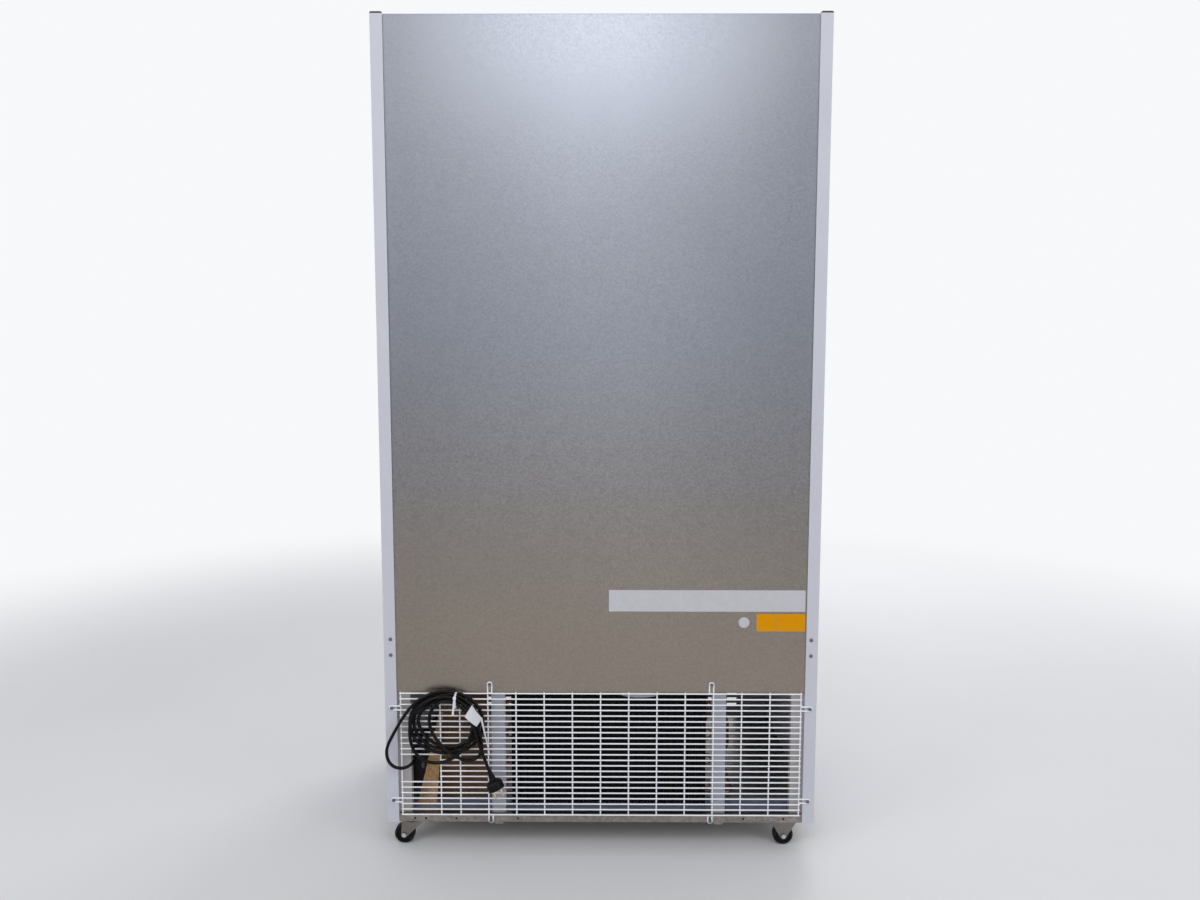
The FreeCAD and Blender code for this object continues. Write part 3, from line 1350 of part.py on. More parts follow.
def fan_motors():
    """Motors of the three fans, with shafts, stalks and the condenser motor's bars."""
    motors = []
    for side in (1, -1):
        middle = evaporator_fan_place(side)
        low = middle.z + FAN_HUB_LENGTH / 2 + MOTOR_GAP
        motor = Part.makeCylinder(MOTOR_RADIUS, MOTOR_LENGTH, V(middle.x, middle.y, low))
        shaft = rod(MOTOR_SHAFT, middle - V(0, 0, FAN_HUB_LENGTH / 2), V(middle.x, middle.y, low + 1))
        stalk = rod(STALK_RADIUS, V(middle.x, middle.y, low + MOTOR_LENGTH - 1),
                    V(middle.x, middle.y, CEILING_Z))
        motors.append(motor.fuse(shaft).fuse(stalk).removeSplitter())
    middle = condenser_fan_place()
    face = middle.y - FAN_HUB_LENGTH / 2 - MOTOR_GAP
    motor = rod(MOTOR_RADIUS, V(middle.x, face, middle.z), V(middle.x, face - MOTOR_LENGTH, middle.z))
    shaft = rod(MOTOR_SHAFT, V(middle.x, middle.y + FAN_HUB_LENGTH / 2, middle.z),
                V(middle.x, face - 1, middle.z))
    motor = motor.fuse(shaft)
    bar_wide, bar_thick = MOTOR_BAR
    plane = shroud_span()[0]
    for offset in (-1, 1):
        height = middle.z + offset * MOTOR_RADIUS * 0.6
        bar = block((middle.x - SHROUD_OPENING - 12, middle.x + SHROUD_OPENING + 12),
                    (plane - bar_thick, plane), (height - bar_wide / 2, height + bar_wide / 2))
        motor = motor.fuse(bar)
    motors.append(motor.removeSplitter())
    return motors


def condenser_span():
    """Y extent of the condenser."""
    back = PANEL_Y - CONDENSER_SETBACK
    return (back - CONDENSER_DEPTH, back)


def shroud_span():
    """Y extent of the condenser's fan shroud."""
    back = condenser_span()[0]
    return (back - SHROUD_DEPTH, back)


def condenser_coil():
    """Black finned condenser between its end plates, on feet."""
    x = (CONDENSER_X[0] + END_PLATE, CONDENSER_X[1] - END_PLATE)
    core = finned_block(x, condenser_span(), CONDENSER_Z, CONDENSER_FINS, GROOVE_DEPTH)
    for edge in (CONDENSER_X[0], CONDENSER_X[1] - END_PLATE):
        core = core.fuse(block((edge, edge + END_PLATE), condenser_span(),
                               (PAN_TOP, CONDENSER_Z[1] + 6)))
    return core.removeSplitter()


def condenser_shroud():
    """Sheet box before the condenser, with the round fan opening."""
    span = shroud_span()
    outer = block(CONDENSER_X, span, (PAN_TOP, CONDENSER_Z[1]))
    inner = block((CONDENSER_X[0] + SHROUD_SHEET, CONDENSER_X[1] - SHROUD_SHEET),
                  (span[0] + SHROUD_SHEET, span[1] + 1),
                  (PAN_TOP + SHROUD_SHEET, CONDENSER_Z[1] - SHROUD_SHEET))
    middle = condenser_fan_place()
    opening = rod(SHROUD_OPENING, V(middle.x, span[0] - 1, middle.z), V(middle.x, span[0] + 5, middle.z))
    return outer.cut(inner).cut(opening)


def compressor_place():
    """Middle of the compressor's base plate, on its rubber mounts."""
    return V(COMPRESSOR_X, REAR_Y - COMPRESSOR_SETBACK, PAN_TOP + MOUNT_HEIGHT)


def compressor():
    """Hermetic compressor: domed shell, weld seam and foot plate."""
    base = compressor_place()
    wide, deep, thick = COMPRESSOR_FOOT
    foot = block((base.x - wide / 2, base.x + wide / 2), (base.y - deep / 2, base.y + deep / 2),
                 (base.z, base.z + thick))
    radius = COMPRESSOR_RADIUS
    height = COMPRESSOR_HEIGHT
    seam = height * 0.55
    band_proud, band_height = SEAM_BAND
    lower = Part.makeCylinder(radius, seam - COMPRESSOR_LIFT, V(0, 0, COMPRESSOR_LIFT))
    lower = lower.makeFillet(COMPRESSOR_BELLY, [min(lower.Edges, key=lambda edge: edge.CenterOfMass.z)])
    upper = Part.makeCylinder(radius - band_proud, height - seam, V(0, 0, seam))
    upper = upper.makeFillet(COMPRESSOR_DOME, [max(upper.Edges, key=lambda edge: edge.CenterOfMass.z)])
    band = Part.makeCylinder(radius + band_proud, band_height, V(0, 0, seam - band_height / 2))
    pedestal = Part.makeCylinder(radius * 0.6, 40, V(0, 0, thick - 1))
    shell = moved(lower.fuse(upper).fuse(band).fuse(pedestal), base.x, base.y, base.z)
    body = shell.fuse(foot)
    for x, y in mount_points():
        body = body.cut(rod(MOUNT_NECK + MOUNT_NECK_FIT, V(x, y, base.z - 1), V(x, y, base.z + thick + 1)))
    return body.removeSplitter()


def mount_points():
    """Places of the compressor's rubber mounts."""
    base = compressor_place()
    wide, deep = COMPRESSOR_FOOT[:2]
    return [(base.x + sx * (wide / 2 - MOUNT_RADIUS), base.y + sy * (deep / 2 - MOUNT_RADIUS))
            for sx in (-1, 1) for sy in (-1, 1)]


def compressor_mounts():
    """Rubber grommets under the compressor's foot plate, with a neck through it."""
    mounts = []
    thick = COMPRESSOR_FOOT[2]
    for x, y in mount_points():
        foot = Part.makeCone(MOUNT_RADIUS, MOUNT_RADIUS - 3, MOUNT_HEIGHT, V(x, y, PAN_TOP))
        neck = rod(MOUNT_NECK, V(x, y, PAN_TOP + MOUNT_HEIGHT - 1),
                   V(x, y, PAN_TOP + MOUNT_HEIGHT + thick + 3))
        mounts.append(foot.fuse(neck).removeSplitter())
    return mounts


def drain_pan():
    """Pale oval condensate cup under the compartment roof."""
    top = MACHINE_ROOF - PLATE
    cup = Part.makeCone(DRAIN_PAN_RADIUS * 0.8, DRAIN_PAN_RADIUS, DRAIN_PAN_HEIGHT,
                        V(0, 0, top - DRAIN_PAN_HEIGHT))
    squash = FreeCAD.Matrix()
    squash.scale(1.0, DRAIN_PAN_SQUASH, 1.0)
    cup = cup.transformGeometry(squash)
    return moved(cup, DRAIN_PAN_X, PANEL_Y - DRAIN_PAN_SETBACK - DRAIN_PAN_RADIUS * DRAIN_PAN_SQUASH)


def fibre_board():
    """Fibreboard baffles in the bay by the terminal box: a wedge, and a taller board behind it."""
    y = PANEL_Y - BOARD_SETBACK
    wedge = slab([V(HALF - inset, y, PAN_TOP + z) for inset, z in WEDGE_OUTLINE], V(0, BOARD_THICKNESS, 0))
    y = PANEL_Y - BACKING_SETBACK
    backing = block(BACKING_X, (y, y + BOARD_THICKNESS), (PAN_TOP, PAN_TOP + BACKING_HEIGHT))
    return [wedge, backing]


def terminal_box():
    """Moulded electrical box beside the cut-out, with its foot on the side strip."""
    back = REAR_Y - BOX_SETBACK
    body = block(BOX_X, (back - BOX_DEPTH, back), BOX_Z)
    rim = [edge for edge in body.Edges if abs(edge.CenterOfMass.y - back) < 1e-6]
    body = body.makeFillet(BOX_EDGE, rim)
    lid = block((BOX_X[0] + 8, BOX_X[1] - 8), (back - 2, back + 1.5), (BOX_Z[0] + 8, BOX_Z[1] - 8))
    foot = block((BOX_X[1] - 5, SKIN_INNER), (back - BOX_DEPTH, back - BOX_DEPTH + 4),
                 (BOX_Z[0] + 15, BOX_Z[1] - 15))
    body = body.fuse(lid).fuse(foot)
    x, z = GLAND_AT
    hole = rod(GLAND_RADIUS - 2, V(x, back - 20, z), V(x, back + 5, z))
    return body.cut(hole).removeSplitter()


def cord_gland():
    """Tapered strain relief where the lead leaves the terminal box."""
    x, z = GLAND_AT
    start = REAR_Y - BOX_SETBACK
    profile = [(CORD_RADIUS + CORD_FIT, -18.0), (GLAND_RADIUS - 2.1, -18.0), (GLAND_RADIUS - 2.1, 1.5),
               (GLAND_RADIUS, 1.5), (GLAND_RADIUS, 5.0), (GLAND_TIP_RADIUS, GLAND_LENGTH),
               (CORD_RADIUS + CORD_FIT, GLAND_LENGTH)]
    return moved(turned_profile(profile, V(0, 1, 0)), x, start, z)


def on_grille(inset, z, out=0.0):
    """Point of the lead before the grille, by its distance in from the cabinet's side."""
    return V(HALF - inset, REAR_Y + CORD_OFF_GRILLE + out, z)


def lead_points():
    """Route of the lead from the terminal box through the cut-out to the coil."""
    x, z = GLAND_AT
    start = REAR_Y - BOX_SETBACK + GLAND_LENGTH - LEAD_SEAT
    return [
        V(x, start, z),
        V(x, REAR_Y - 19.25, z),
        V(x + 5.0, REAR_Y - 2.0, z - 7.4),
        V(x + 17.2, REAR_Y + 10.6, z - 14.0),
        on_grille(35.8, 219.8, 9.6),
        on_grille(19.3, 228.3, 13.0),
        on_grille(8.5, 243.7, 13.3),
        on_grille(5.7, 262.3, 12.2),
        on_grille(8.6, 278.8, 9.9),
        on_grille(17.5, 297.5, 7.6),
        on_grille(43.0, 343.0, 6.8),
        on_grille(70.0, 379.0, 7.0),
        on_grille(101.0, 400.0, 9.0),
        on_grille(120.0, 401.0, 9.0),
    ]


def plug_top():
    """Point where the lead meets the plug's strain relief."""
    return V(PLUG_TOP[0], REAR_Y + CORD_OFF_GRILLE + PLUG_OUT, PLUG_TOP[1])


def plug_points():
    """Route of the lead from the coil down to the plug."""
    top = plug_top()
    along = V(*PLUG_DIRECTION).normalize()
    return [
        on_grille(225.0, 303.0, 23.5),
        on_grille(236.0, 270.0, 16.0),
        top - along * 22.0,
        top + along * PLUG_SEAT,
    ]


def slack_lead(points, name):
    """Lead along loose arcs; the radii and the volume are printed as a check."""
    radii = loose_radii(points)
    path = bent_path(points, radii)
    lead = round_bar(path, CORD_RADIUS)
    section = math.pi * CORD_RADIUS ** 2
    print(name, "radii", [round(radius, 1) for radius in radii], "length", round(path.Length, 1),
          "volume ratio", round(lead.Volume / (section * path.Length), 4))
    return lead


def oval(centre, half_wide, half_tall):
    """Upright oval block before the grille, as thick as the coil."""
    x, z = centre
    middle = V(x, REAR_Y + GRILLE_PROUD + SEAM, z)
    wide = middle + V(half_wide, 0, 0)
    tall = middle + V(0, 0, half_tall)
    major, minor = (wide, tall) if half_wide >= half_tall else (tall, wide)
    outline = Part.Wire(Part.Ellipse(major, minor, middle).toShape())
    return Part.Face(outline).extrude(V(0, COIL_THICKNESS, 0))


def cord_coil():
    """Outer shape of the coil of lead that hangs on the grille."""
    ring = oval(COIL_CENTRE, *COIL_OUTER).cut(oval(COIL_HOLE_CENTRE, *COIL_HOLE))
    rims = [edge for edge in ring.Edges if edge.BoundBox.YLength < 1e-3]
    return ring.makeChamfer(COIL_EDGE, rims)


def cord_tie():
    """Strap that hangs the coil from the grille's top wires, with a loose tail."""
    y = (REAR_Y + GRILLE_PROUD - WIRE - 0.3, REAR_Y + GRILLE_PROUD + COIL_THICKNESS + 2 * SEAM)
    top = COIL_CENTRE[1] + COIL_OUTER[1] + SEAM
    low = row_height(ROW_COUNT - 3) - WIRE / 2 - SEAM
    x = (TIE_X - TIE_WIDTH / 2, TIE_X + TIE_WIDTH / 2)
    outer = block(x, (y[0] - TIE_STRAP, y[1] + TIE_STRAP), (low - TIE_STRAP, top + TIE_STRAP))
    loop = outer.cut(block((x[0] - 1, x[1] + 1), y, (low, top)))
    lock = block((x[0] - 1.2, x[1] + 1.2), (y[1] + TIE_STRAP, y[1] + TIE_STRAP + 4),
                 (top - 6, top + TIE_STRAP))
    tail = block(x, (y[1] + TIE_STRAP + 1, y[1] + 2 * TIE_STRAP + 1), (top - 6 - TIE_TAIL, top - 6))
    return loop.fuse(lock).fuse(tail).removeSplitter()


def mains_plug():
    """Round two-pin mains plug with a tapered strain relief."""
    profile = [(0.0, PLUG_SEAT), (CORD_RADIUS + 1.4, PLUG_SEAT), (PLUG_NECK - 2, PLUG_RELIEF - 8),
               (PLUG_NECK, PLUG_RELIEF), (PLUG_RADIUS - 2, PLUG_RELIEF + 6),
               (PLUG_RADIUS, PLUG_RELIEF + 10), (PLUG_RADIUS, PLUG_RELIEF + PLUG_BODY - 2),
               (PLUG_RADIUS - 2, PLUG_RELIEF + PLUG_BODY), (0.0, PLUG_RELIEF + PLUG_BODY)]
    body = turned_profile([(radius, -along) for radius, along in profile], V(0, 0, 1))
    base = -(PLUG_RELIEF + PLUG_BODY)
    for side in (1, -1):
        x = side * PIN_SPACING / 2
        pin = rod(PIN_RADIUS, V(x, 0, base + 2), V(x, 0, base - PIN_LENGTH))
        tip = min(pin.Edges, key=lambda edge: edge.CenterOfMass.z)
        body = body.fuse(pin.makeFillet(1.2, [tip]))
    body = body.removeSplitter()
    turn = FreeCAD.Rotation(V(0, 0, -1), V(*PLUG_DIRECTION))
    body.Placement = FreeCAD.Placement(plug_top(), turn)
    return body


def pipe_bends():
    """Return bends at both ends of the condenser."""
    bends = []
    front, back = condenser_span()
    y = (front + back) / 2
    pitch = (CONDENSER_Z[1] - CONDENSER_Z[0]) / BENDS_PER_SIDE
    for x, out in ((CONDENSER_X[0], -1), (CONDENSER_X[1], 1)):
        for index in range(BENDS_PER_SIDE):
            middle = CONDENSER_Z[0] + (index + 0.5) * pitch
            reach = x + out * (BEND_RADIUS + 6)
            points = [V(x, y, middle - BEND_RADIUS), V(reach, y, middle - BEND_RADIUS),
                      V(reach, y, middle + BEND_RADIUS), V(x, y, middle + BEND_RADIUS)]
            radius = BEND_RADIUS - 0.02
            bends.append(round_bar(bent_path(points, [radius, radius]), TUBE_RADIUS))
    return bends


def drier_place():
    """Middle of the filter drier."""
    return V(CONDENSER_X[0] - 70.0, REAR_Y - 210.0, PAN_TOP + 120.0)


def refrigerant_pipes():
    """Copper pipes between compressor, condenser, drier and evaporator."""
    base = compressor_place()
    top = base.z + COMPRESSOR_HEIGHT * 0.45
    side = condenser_span()[0] + 8
    middle = drier_place()
    roof = MACHINE_ROOF - PLATE
    right = CONDENSER_X[1]
    left = CONDENSER_X[0]
    routes = [
        [V(base.x + COMPRESSOR_RADIUS, base.y, top), V(right + PIPE_STANDOFF, base.y, top),
         V(right + PIPE_STANDOFF, side, top), V(right + PIPE_STANDOFF, side, CONDENSER_Z[1] - 8),
         V(right, side, CONDENSER_Z[1] - 8)],
        [V(left, side, CONDENSER_Z[0] + 14), V(middle.x, side, CONDENSER_Z[0] + 14),
         V(middle.x, middle.y, CONDENSER_Z[0] + 14), V(middle.x, middle.y, middle.z - DRIER_LENGTH / 2)],
        [V(middle.x, middle.y, middle.z + DRIER_LENGTH / 2), V(middle.x, middle.y, roof)],
        [V(base.x - COMPRESSOR_RADIUS, base.y, top), V(left - PIPE_STANDOFF, base.y, top),
         V(left - PIPE_STANDOFF, base.y, roof)],
    ]
    pipes = []
    for route in routes:
        bends = [PIPE_BEND] * (len(route) - 2)
        pipes.append(round_bar(bent_path(route, bends), TUBE_RADIUS))
    return pipes + pipe_bends()


def filter_drier():
    """Spun copper filter drier."""
    middle = drier_place()
    half = DRIER_LENGTH / 2
    profile = [(0.0, -half), (TUBE_RADIUS + 1, -half), (DRIER_RADIUS, -half + 16),
               (DRIER_RADIUS, half - 16), (TUBE_RADIUS + 1, half), (0.0, half)]
    return moved(turned_profile(profile, V(0, 0, 1)), middle.x, middle.y, middle.z)


def build_nodes():
    """Every node of the refrigerator by name."""
    rear, front = CASTOR_YS
    swivel_axle = SWIVEL_CASTOR_X + SWIVEL_TRAIL
    right_panel = side_panel()
    frame = door_frame()
    glass = door_glass()
    gasket = door_gasket()
    handle = door_handle()
    lock = door_lock()
    buttons = button_points()
    shaft = MOTOR_SHAFT + SHAFT_FIT
    condenser_fan = fan(condenser_fan_place(), False, CONDENSER_FAN_TIP, FAN_HUB, shaft)
    return {
        "side_panel_left": mirrored(right_panel),
        "side_panel_right": right_panel,
        "back_panel": back_panel(),
        "top_panel": top_panel(),
        "base_frame": base_frame(),
        "compartment_sheets": [base_pan(), compartment_roof()],
        "foam_body": foam_body(),
        "inner_liner": inner_liner(),
        "front_frame": front_frame(),
        "rear_uprights": side_strips() + rear_uprights(),
        "rear_grille": rear_grille(),
        "rear_screws": rear_screws(),
        "post_caps": post_caps(),
        "header_panel": header_panel(),
        "controller_housing": controller_housing(),
        "power_switch": power_switch(),
        "set_button": button(*buttons[0]),
        "down_button": button(*buttons[1]),
        "up_button": button(*buttons[2]),
        "kick_grille": kick_grille(),
        "hinge_brackets": hinge_brackets(),
        "shelf_supports": shelf_pilasters() + shelf_clips(),
        "wire_shelves": wire_shelves(),
        "light_strips": light_strips(),
        "evaporator_coil": evaporator_coil(),
        "evaporator_cover": evaporator_cover(),
        "evaporator_fan_left": fan(evaporator_fan_place(-1), True, FAN_TIP, FAN_HUB, shaft),
        "evaporator_fan_right": fan(evaporator_fan_place(1), True, FAN_TIP, FAN_HUB, shaft),
        "condenser_fan": condenser_fan,
        "fan_motors": fan_motors(),
        "compressor": compressor(),
        "compressor_mounts": compressor_mounts(),
        "condenser_coil": condenser_coil(),
        "condenser_shroud": condenser_shroud(),
        "refrigerant_pipes": refrigerant_pipes() + [filter_drier()],
        "drain_pan": drain_pan(),
        "fibre_board": fibre_board(),
        "terminal_box": terminal_box(),
        "cord_gland": cord_gland(),
        "castor_plates": [fixed_castor_bracket(y) for y in CASTOR_YS]
        + [swivel_castor_plate(y) for y in CASTOR_YS]
        + [axle_bolt(FIXED_CASTOR_X, y) for y in CASTOR_YS] + castor_bolts(),
        "swivel_fork_rear": [swivel_fork(rear), axle_bolt(swivel_axle, rear)],
        "swivel_fork_front": [swivel_fork(front), axle_bolt(swivel_axle, front)],
        "swivel_wheel_rear": wheel(swivel_axle, rear),
        "swivel_wheel_front": wheel(swivel_axle, front),
        "fixed_wheel_rear": wheel(FIXED_CASTOR_X, rear),
        "fixed_wheel_front": wheel(FIXED_CASTOR_X, front),
        "door_frame_left": mirrored(frame),
        "door_frame_right": frame,
        "door_glass_left": [mirrored(pane) for pane in glass],
        "door_glass_right": glass,
        "door_gasket_left": mirrored(gasket),
        "door_gasket_right": gasket,
        "door_handle_left": mirrored(handle),
        "door_handle_right": handle,
        "door_lock_left": mirrored(lock),
        "door_lock_right": lock,
        "mains_cord": [slack_lead(lead_points(), "box to coil"),
                       slack_lead(plug_points(), "coil to plug")],
        "cord_coil": cord_coil(),
        "cord_tie": cord_tie(),
        "mains_plug": mains_plug(),
    }


def main():
    """Write one STEP file per node."""
    os.makedirs("parts", exist_ok=True)
    for name, shape in build_nodes().items():
        if isinstance(shape, list):
            shape = Part.makeCompound(shape)
        shape.exportStep(f"parts/{name}.step")


main()
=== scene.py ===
"""Looks of a two-door laboratory refrigerator, seen from behind in its photograph.

Everything is in metres in the part's own frame: +Z is up, the doors face -Y, the rear grille
faces +Y, and "left" is -X, the left hand of a person who stands before the doors.
"""
import json
import logging
import math
from collections.abc import Callable, Sequence
from dataclasses import dataclass
from enum import Enum

import bmesh
import bpy
from mathutils import Matrix, Vector


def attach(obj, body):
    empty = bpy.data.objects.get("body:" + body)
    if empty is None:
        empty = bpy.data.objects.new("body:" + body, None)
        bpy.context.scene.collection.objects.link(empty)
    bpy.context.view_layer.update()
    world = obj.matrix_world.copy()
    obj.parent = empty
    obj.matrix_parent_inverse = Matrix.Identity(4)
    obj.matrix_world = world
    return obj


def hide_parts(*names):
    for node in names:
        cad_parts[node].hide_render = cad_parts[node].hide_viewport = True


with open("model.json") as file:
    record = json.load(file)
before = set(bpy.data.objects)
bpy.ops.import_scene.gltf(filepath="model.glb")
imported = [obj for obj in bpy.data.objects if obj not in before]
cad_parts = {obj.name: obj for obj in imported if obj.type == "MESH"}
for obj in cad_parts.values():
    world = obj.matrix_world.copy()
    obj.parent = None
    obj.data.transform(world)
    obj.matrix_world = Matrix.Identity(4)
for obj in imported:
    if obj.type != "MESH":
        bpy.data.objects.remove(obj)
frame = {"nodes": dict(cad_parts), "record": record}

logging.basicConfig(level=logging.INFO, format="%(message)s")
log = logging.getLogger("refrigerator")

Colour = tuple[float, float, float]
Point = tuple[float, float, float]
Pair = tuple[float, float]
Socket = bpy.types.NodeSocket
Finishes = dict[str, bpy.types.Material]

MM = 0.001
QUARTER_TURN = math.pi / 2
FACING_REAR = Matrix.Rotation(-QUARTER_TURN, 4, "X")
FULL_TONE = 255
CURVE_FOOT = 0.04045
CURVE_SLOPE = 12.92
CURVE_LIFT = 0.055
CURVE_POWER = 2.4
FINE = 2.0
SHADE_STOPS = (0.25, 0.75)


class Body(str, Enum):
    """Body of the part that a piece of the scene rides on."""

    CABINET = "cabinet"


class Slot(str, Enum):
    """Material slots of the record that the new pieces take their finish from."""

    CORD = "cord_black"
    PLUG = "plug_black"
    TIE = "tie_white"
    PANEL = "galvanised_sheet"
    BOX = "box_black"


class Grain(Enum):
    """Direction in which a metal surface is brushed or drawn."""

    NONE = (1.0, 1.0, 1.0)
    ALONG_Z = (1.0, 1.0, 0.02)


class Mixing(str, Enum):
    """Ways of laying one colour over another."""

    MIX = "MIX"
    MULTIPLY = "MULTIPLY"


def tone(red: float, green: float, blue: float) -> Colour:
    """Linear colour of a tone that is read off as 0 to 255, by the usual display curve.

    Args:
        red: The red channel.
        green: The green channel.
        blue: The blue channel.

    Returns:
        The colour as linear shares from 0 to 1.
    """
    linear = []
    for value in (red, green, blue):
        share = value / FULL_TONE
        if share <= CURVE_FOOT:
            linear.append(share / CURVE_SLOPE)
        else:
            linear.append(((share + CURVE_LIFT) / (1 + CURVE_LIFT)) ** CURVE_POWER)
    return tuple(linear)


def scaled(colour: Colour, share: float) -> Colour:
    """Colour with each channel multiplied by a share."""
    return tuple(channel * share for channel in colour)


def grey(level: float) -> Colour:
    """Neutral colour of a linear level."""
    return (level,) * 3


def around(middle: float, margins: Pair) -> Pair:
    """Range about a middle value, from its margins below and above."""
    below, above = margins
    return middle - below, middle + above


@dataclass(frozen=True)
class Pattern:
    """Scale of a cloudy noise and how fine its smallest clouds are."""

    scale: float
    detail: float = 3.0


class Recipe:
    """A material under construction: one shader and the patterns that feed it."""

    def __init__(self, name: str) -> None:
        """Starts a material on the piece's own coordinates.

        Args:
            name: The material's name.
        """
        self.material = bpy.data.materials.new(name)
        self.material.use_nodes = True
        self.tree = self.material.node_tree
        self.shader = self.tree.nodes["Principled BSDF"]
        self.place = self.tree.nodes.new("ShaderNodeTexCoord").outputs["Object"]

    def add(self, kind: str, **inputs: object) -> bpy.types.Node:
        """Adds a node and sets or links its inputs.

        Args:
            kind: The node's type without its "ShaderNode" prefix.
            inputs: Values or sockets by input name, with "_" for a space.

        Returns:
            The new node.
        """
        node = self.tree.nodes.new("ShaderNode" + kind)
        for name, value in inputs.items():
            self.feed(node.inputs[name.replace("_", " ")], value)
        return node

    def feed(self, socket: Socket, value: object) -> None:
        """Links a socket to an input, or sets the input to a value.

        Args:
            socket: The input that is fed.
            value: A socket to link, a colour or a number.
        """
        if isinstance(value, Socket):
            self.tree.links.new(value, socket)
        elif isinstance(value, tuple) and len(value) == 3 and socket.type == "RGBA":
            socket.default_value = (*value, 1.0)
        else:
            socket.default_value = value

    def stretched(self, scale: Point) -> Socket:
        """Object coordinates scaled by an amount along each axis."""
        return self.add("Mapping", Vector=self.place, Scale=scale).outputs["Vector"]

    def along(self, axis: str) -> Socket:
        """Place along one axis of the part's frame, in metres."""
        return self.add("SeparateXYZ", Vector=self.place).outputs[axis]

    def noise(self, pattern: Pattern, grain: Grain = Grain.NONE) -> Socket:
        """Cloudy noise, drawn out along a grain.

        Args:
            pattern: Its scale and detail.
            grain: The direction that it is drawn out in.

        Returns:
            The noise, from 0 to 1.
        """
        vector = self.place if grain is Grain.NONE else self.stretched(grain.value)
        return self.add("TexNoise", Vector=vector, Scale=pattern.scale,
                        Detail=pattern.detail).outputs["Fac"]

    def arithmetic(self, operation: str, first: object, second: object = 0.0) -> Socket:
        """Result of one sum on two inputs.

        Args:
            operation: The operation's name, such as "MULTIPLY".
            first: The first socket or number.
            second: The second one, where the operation has two.

        Returns:
            The result.
        """
        node = self.add("Math")
        node.operation = operation
        self.feed(node.inputs[0], first)
        self.feed(node.inputs[1], second)
        return node.outputs[0]

    def ramp(self, source: Socket, *stops: tuple[float, Colour]) -> Socket:
        """Colours at given places of a source between 0 and 1.

        Args:
            source: The socket that the colours follow.
            stops: A place and its colour, for each stop.

        Returns:
            The colour.
        """
        node = self.add("ValToRGB", Fac=source)
        elements = node.color_ramp.elements
        while len(elements) < len(stops):
            elements.new(0.5)
        for element, (position, colour) in zip(elements, stops):
            element.position = position
            element.color = (*colour, 1.0)
        return node.outputs["Color"]

    def spread(self, source: Socket, low: float, high: float,
               start: float = 0.0, end: float = 1.0) -> Socket:
        """Maps a source evenly to a new range.

        Args:
            source: The socket that is mapped.
            low: Result where the source is at its start.
            high: Result where the source is at its end.
            start: Start of the source's own range.
            end: End of the source's own range.

        Returns:
            The mapped value.
        """
        node = self.add("MapRange", Value=source)
        limits = {"From Min": start, "From Max": end, "To Min": low, "To Max": high}
        for name, value in limits.items():
            node.inputs[name].default_value = value
        return node.outputs["Result"]

    def step(self, source: Socket, start: float, width: float) -> Socket:
        """Share that goes from 0 to 1 over a narrow width."""
        return self.spread(source, 0.0, 1.0, start, start + width)

    def eased(self, source: Socket, limits: Pair, curve: str = "SMOOTHSTEP") -> Socket:
        """Share that rises softly from 0 to 1.

        Args:
            source: The socket that the share follows.
            limits: Values of the source at which the share is 0 and 1.
            curve: Kind of the soft rise.

        Returns:
            The share.
        """
        node = self.add("MapRange", Value=source)
        node.interpolation_type = curve
        for name, value in zip(("From Min", "From Max"), limits):
            node.inputs[name].default_value = value
        return node.outputs["Result"]

    def blend(self, share: object, first: object, second: object,
              mode: Mixing = Mixing.MIX) -> Socket:
        """Lays a second colour over a first one.

        Args:
            share: How much of the second colour counts, from 0 to 1.
            first: The colour below.
            second: The colour above.
            mode: How the two are mixed.

        Returns:
            The mixed colour.
        """
        node = self.tree.nodes.new("ShaderNodeMix")
        node.data_type = "RGBA"
        node.blend_type = mode.value
        for index, value in ((0, share), (6, first), (7, second)):
            self.feed(node.inputs[index], value)
        return node.outputs[2]

    def tinted(self, base: Socket, tint: object) -> Socket:
        """Colour multiplied by a tint."""
        return self.blend(1.0, base, tint, Mixing.MULTIPLY)

    def shaded(self, colour: Colour, source: Socket, depth: float) -> Socket:
        """Makes a colour darker and lighter with a source.

        Args:
            colour: The middle colour.
            source: The pattern, from 0 to 1.
            depth: Share by which it changes to each side.

        Returns:
            The colour.
        """
        light = tuple(min(1.0, channel) for channel in scaled(colour, 1 + depth))
        return self.ramp(source, *zip(SHADE_STOPS, (scaled(colour, 1 - depth), light)))

    def rough(self, source: Socket, low: float, high: float) -> None:
        """Roughness that follows a source."""
        self.feed(self.shader.inputs["Roughness"], self.spread(source, low, high))

    def colour(self, value: object) -> None:
        """Base colour of the surface."""
        self.feed(self.shader.inputs["Base Color"], value)

    def bump(self, source: Socket, depth: float, strength: float = 1.0,
             under: Socket | None = None) -> Socket:
        """Raises the surface with a source.

        Args:
            source: The pattern of heights, from 0 to 1.
            depth: Real depth in metres.
            strength: Share of the bump that shows.
            under: Another bump that it lies on, if any.

        Returns:
            The bumped normal.
        """
        node = self.add("Bump", Height=source, Distance=depth, Strength=strength)
        if under is not None:
            self.feed(node.inputs["Normal"], under)
        self.feed(self.shader.inputs["Normal"], node.outputs["Normal"])
        return node.outputs["Normal"]

    def set(self, **values: object) -> None:
        """Values that are the same all over the surface, on the shader's own sockets."""
        for name, value in values.items():
            self.feed(self.shader.inputs[name.replace("_", " ")], value)


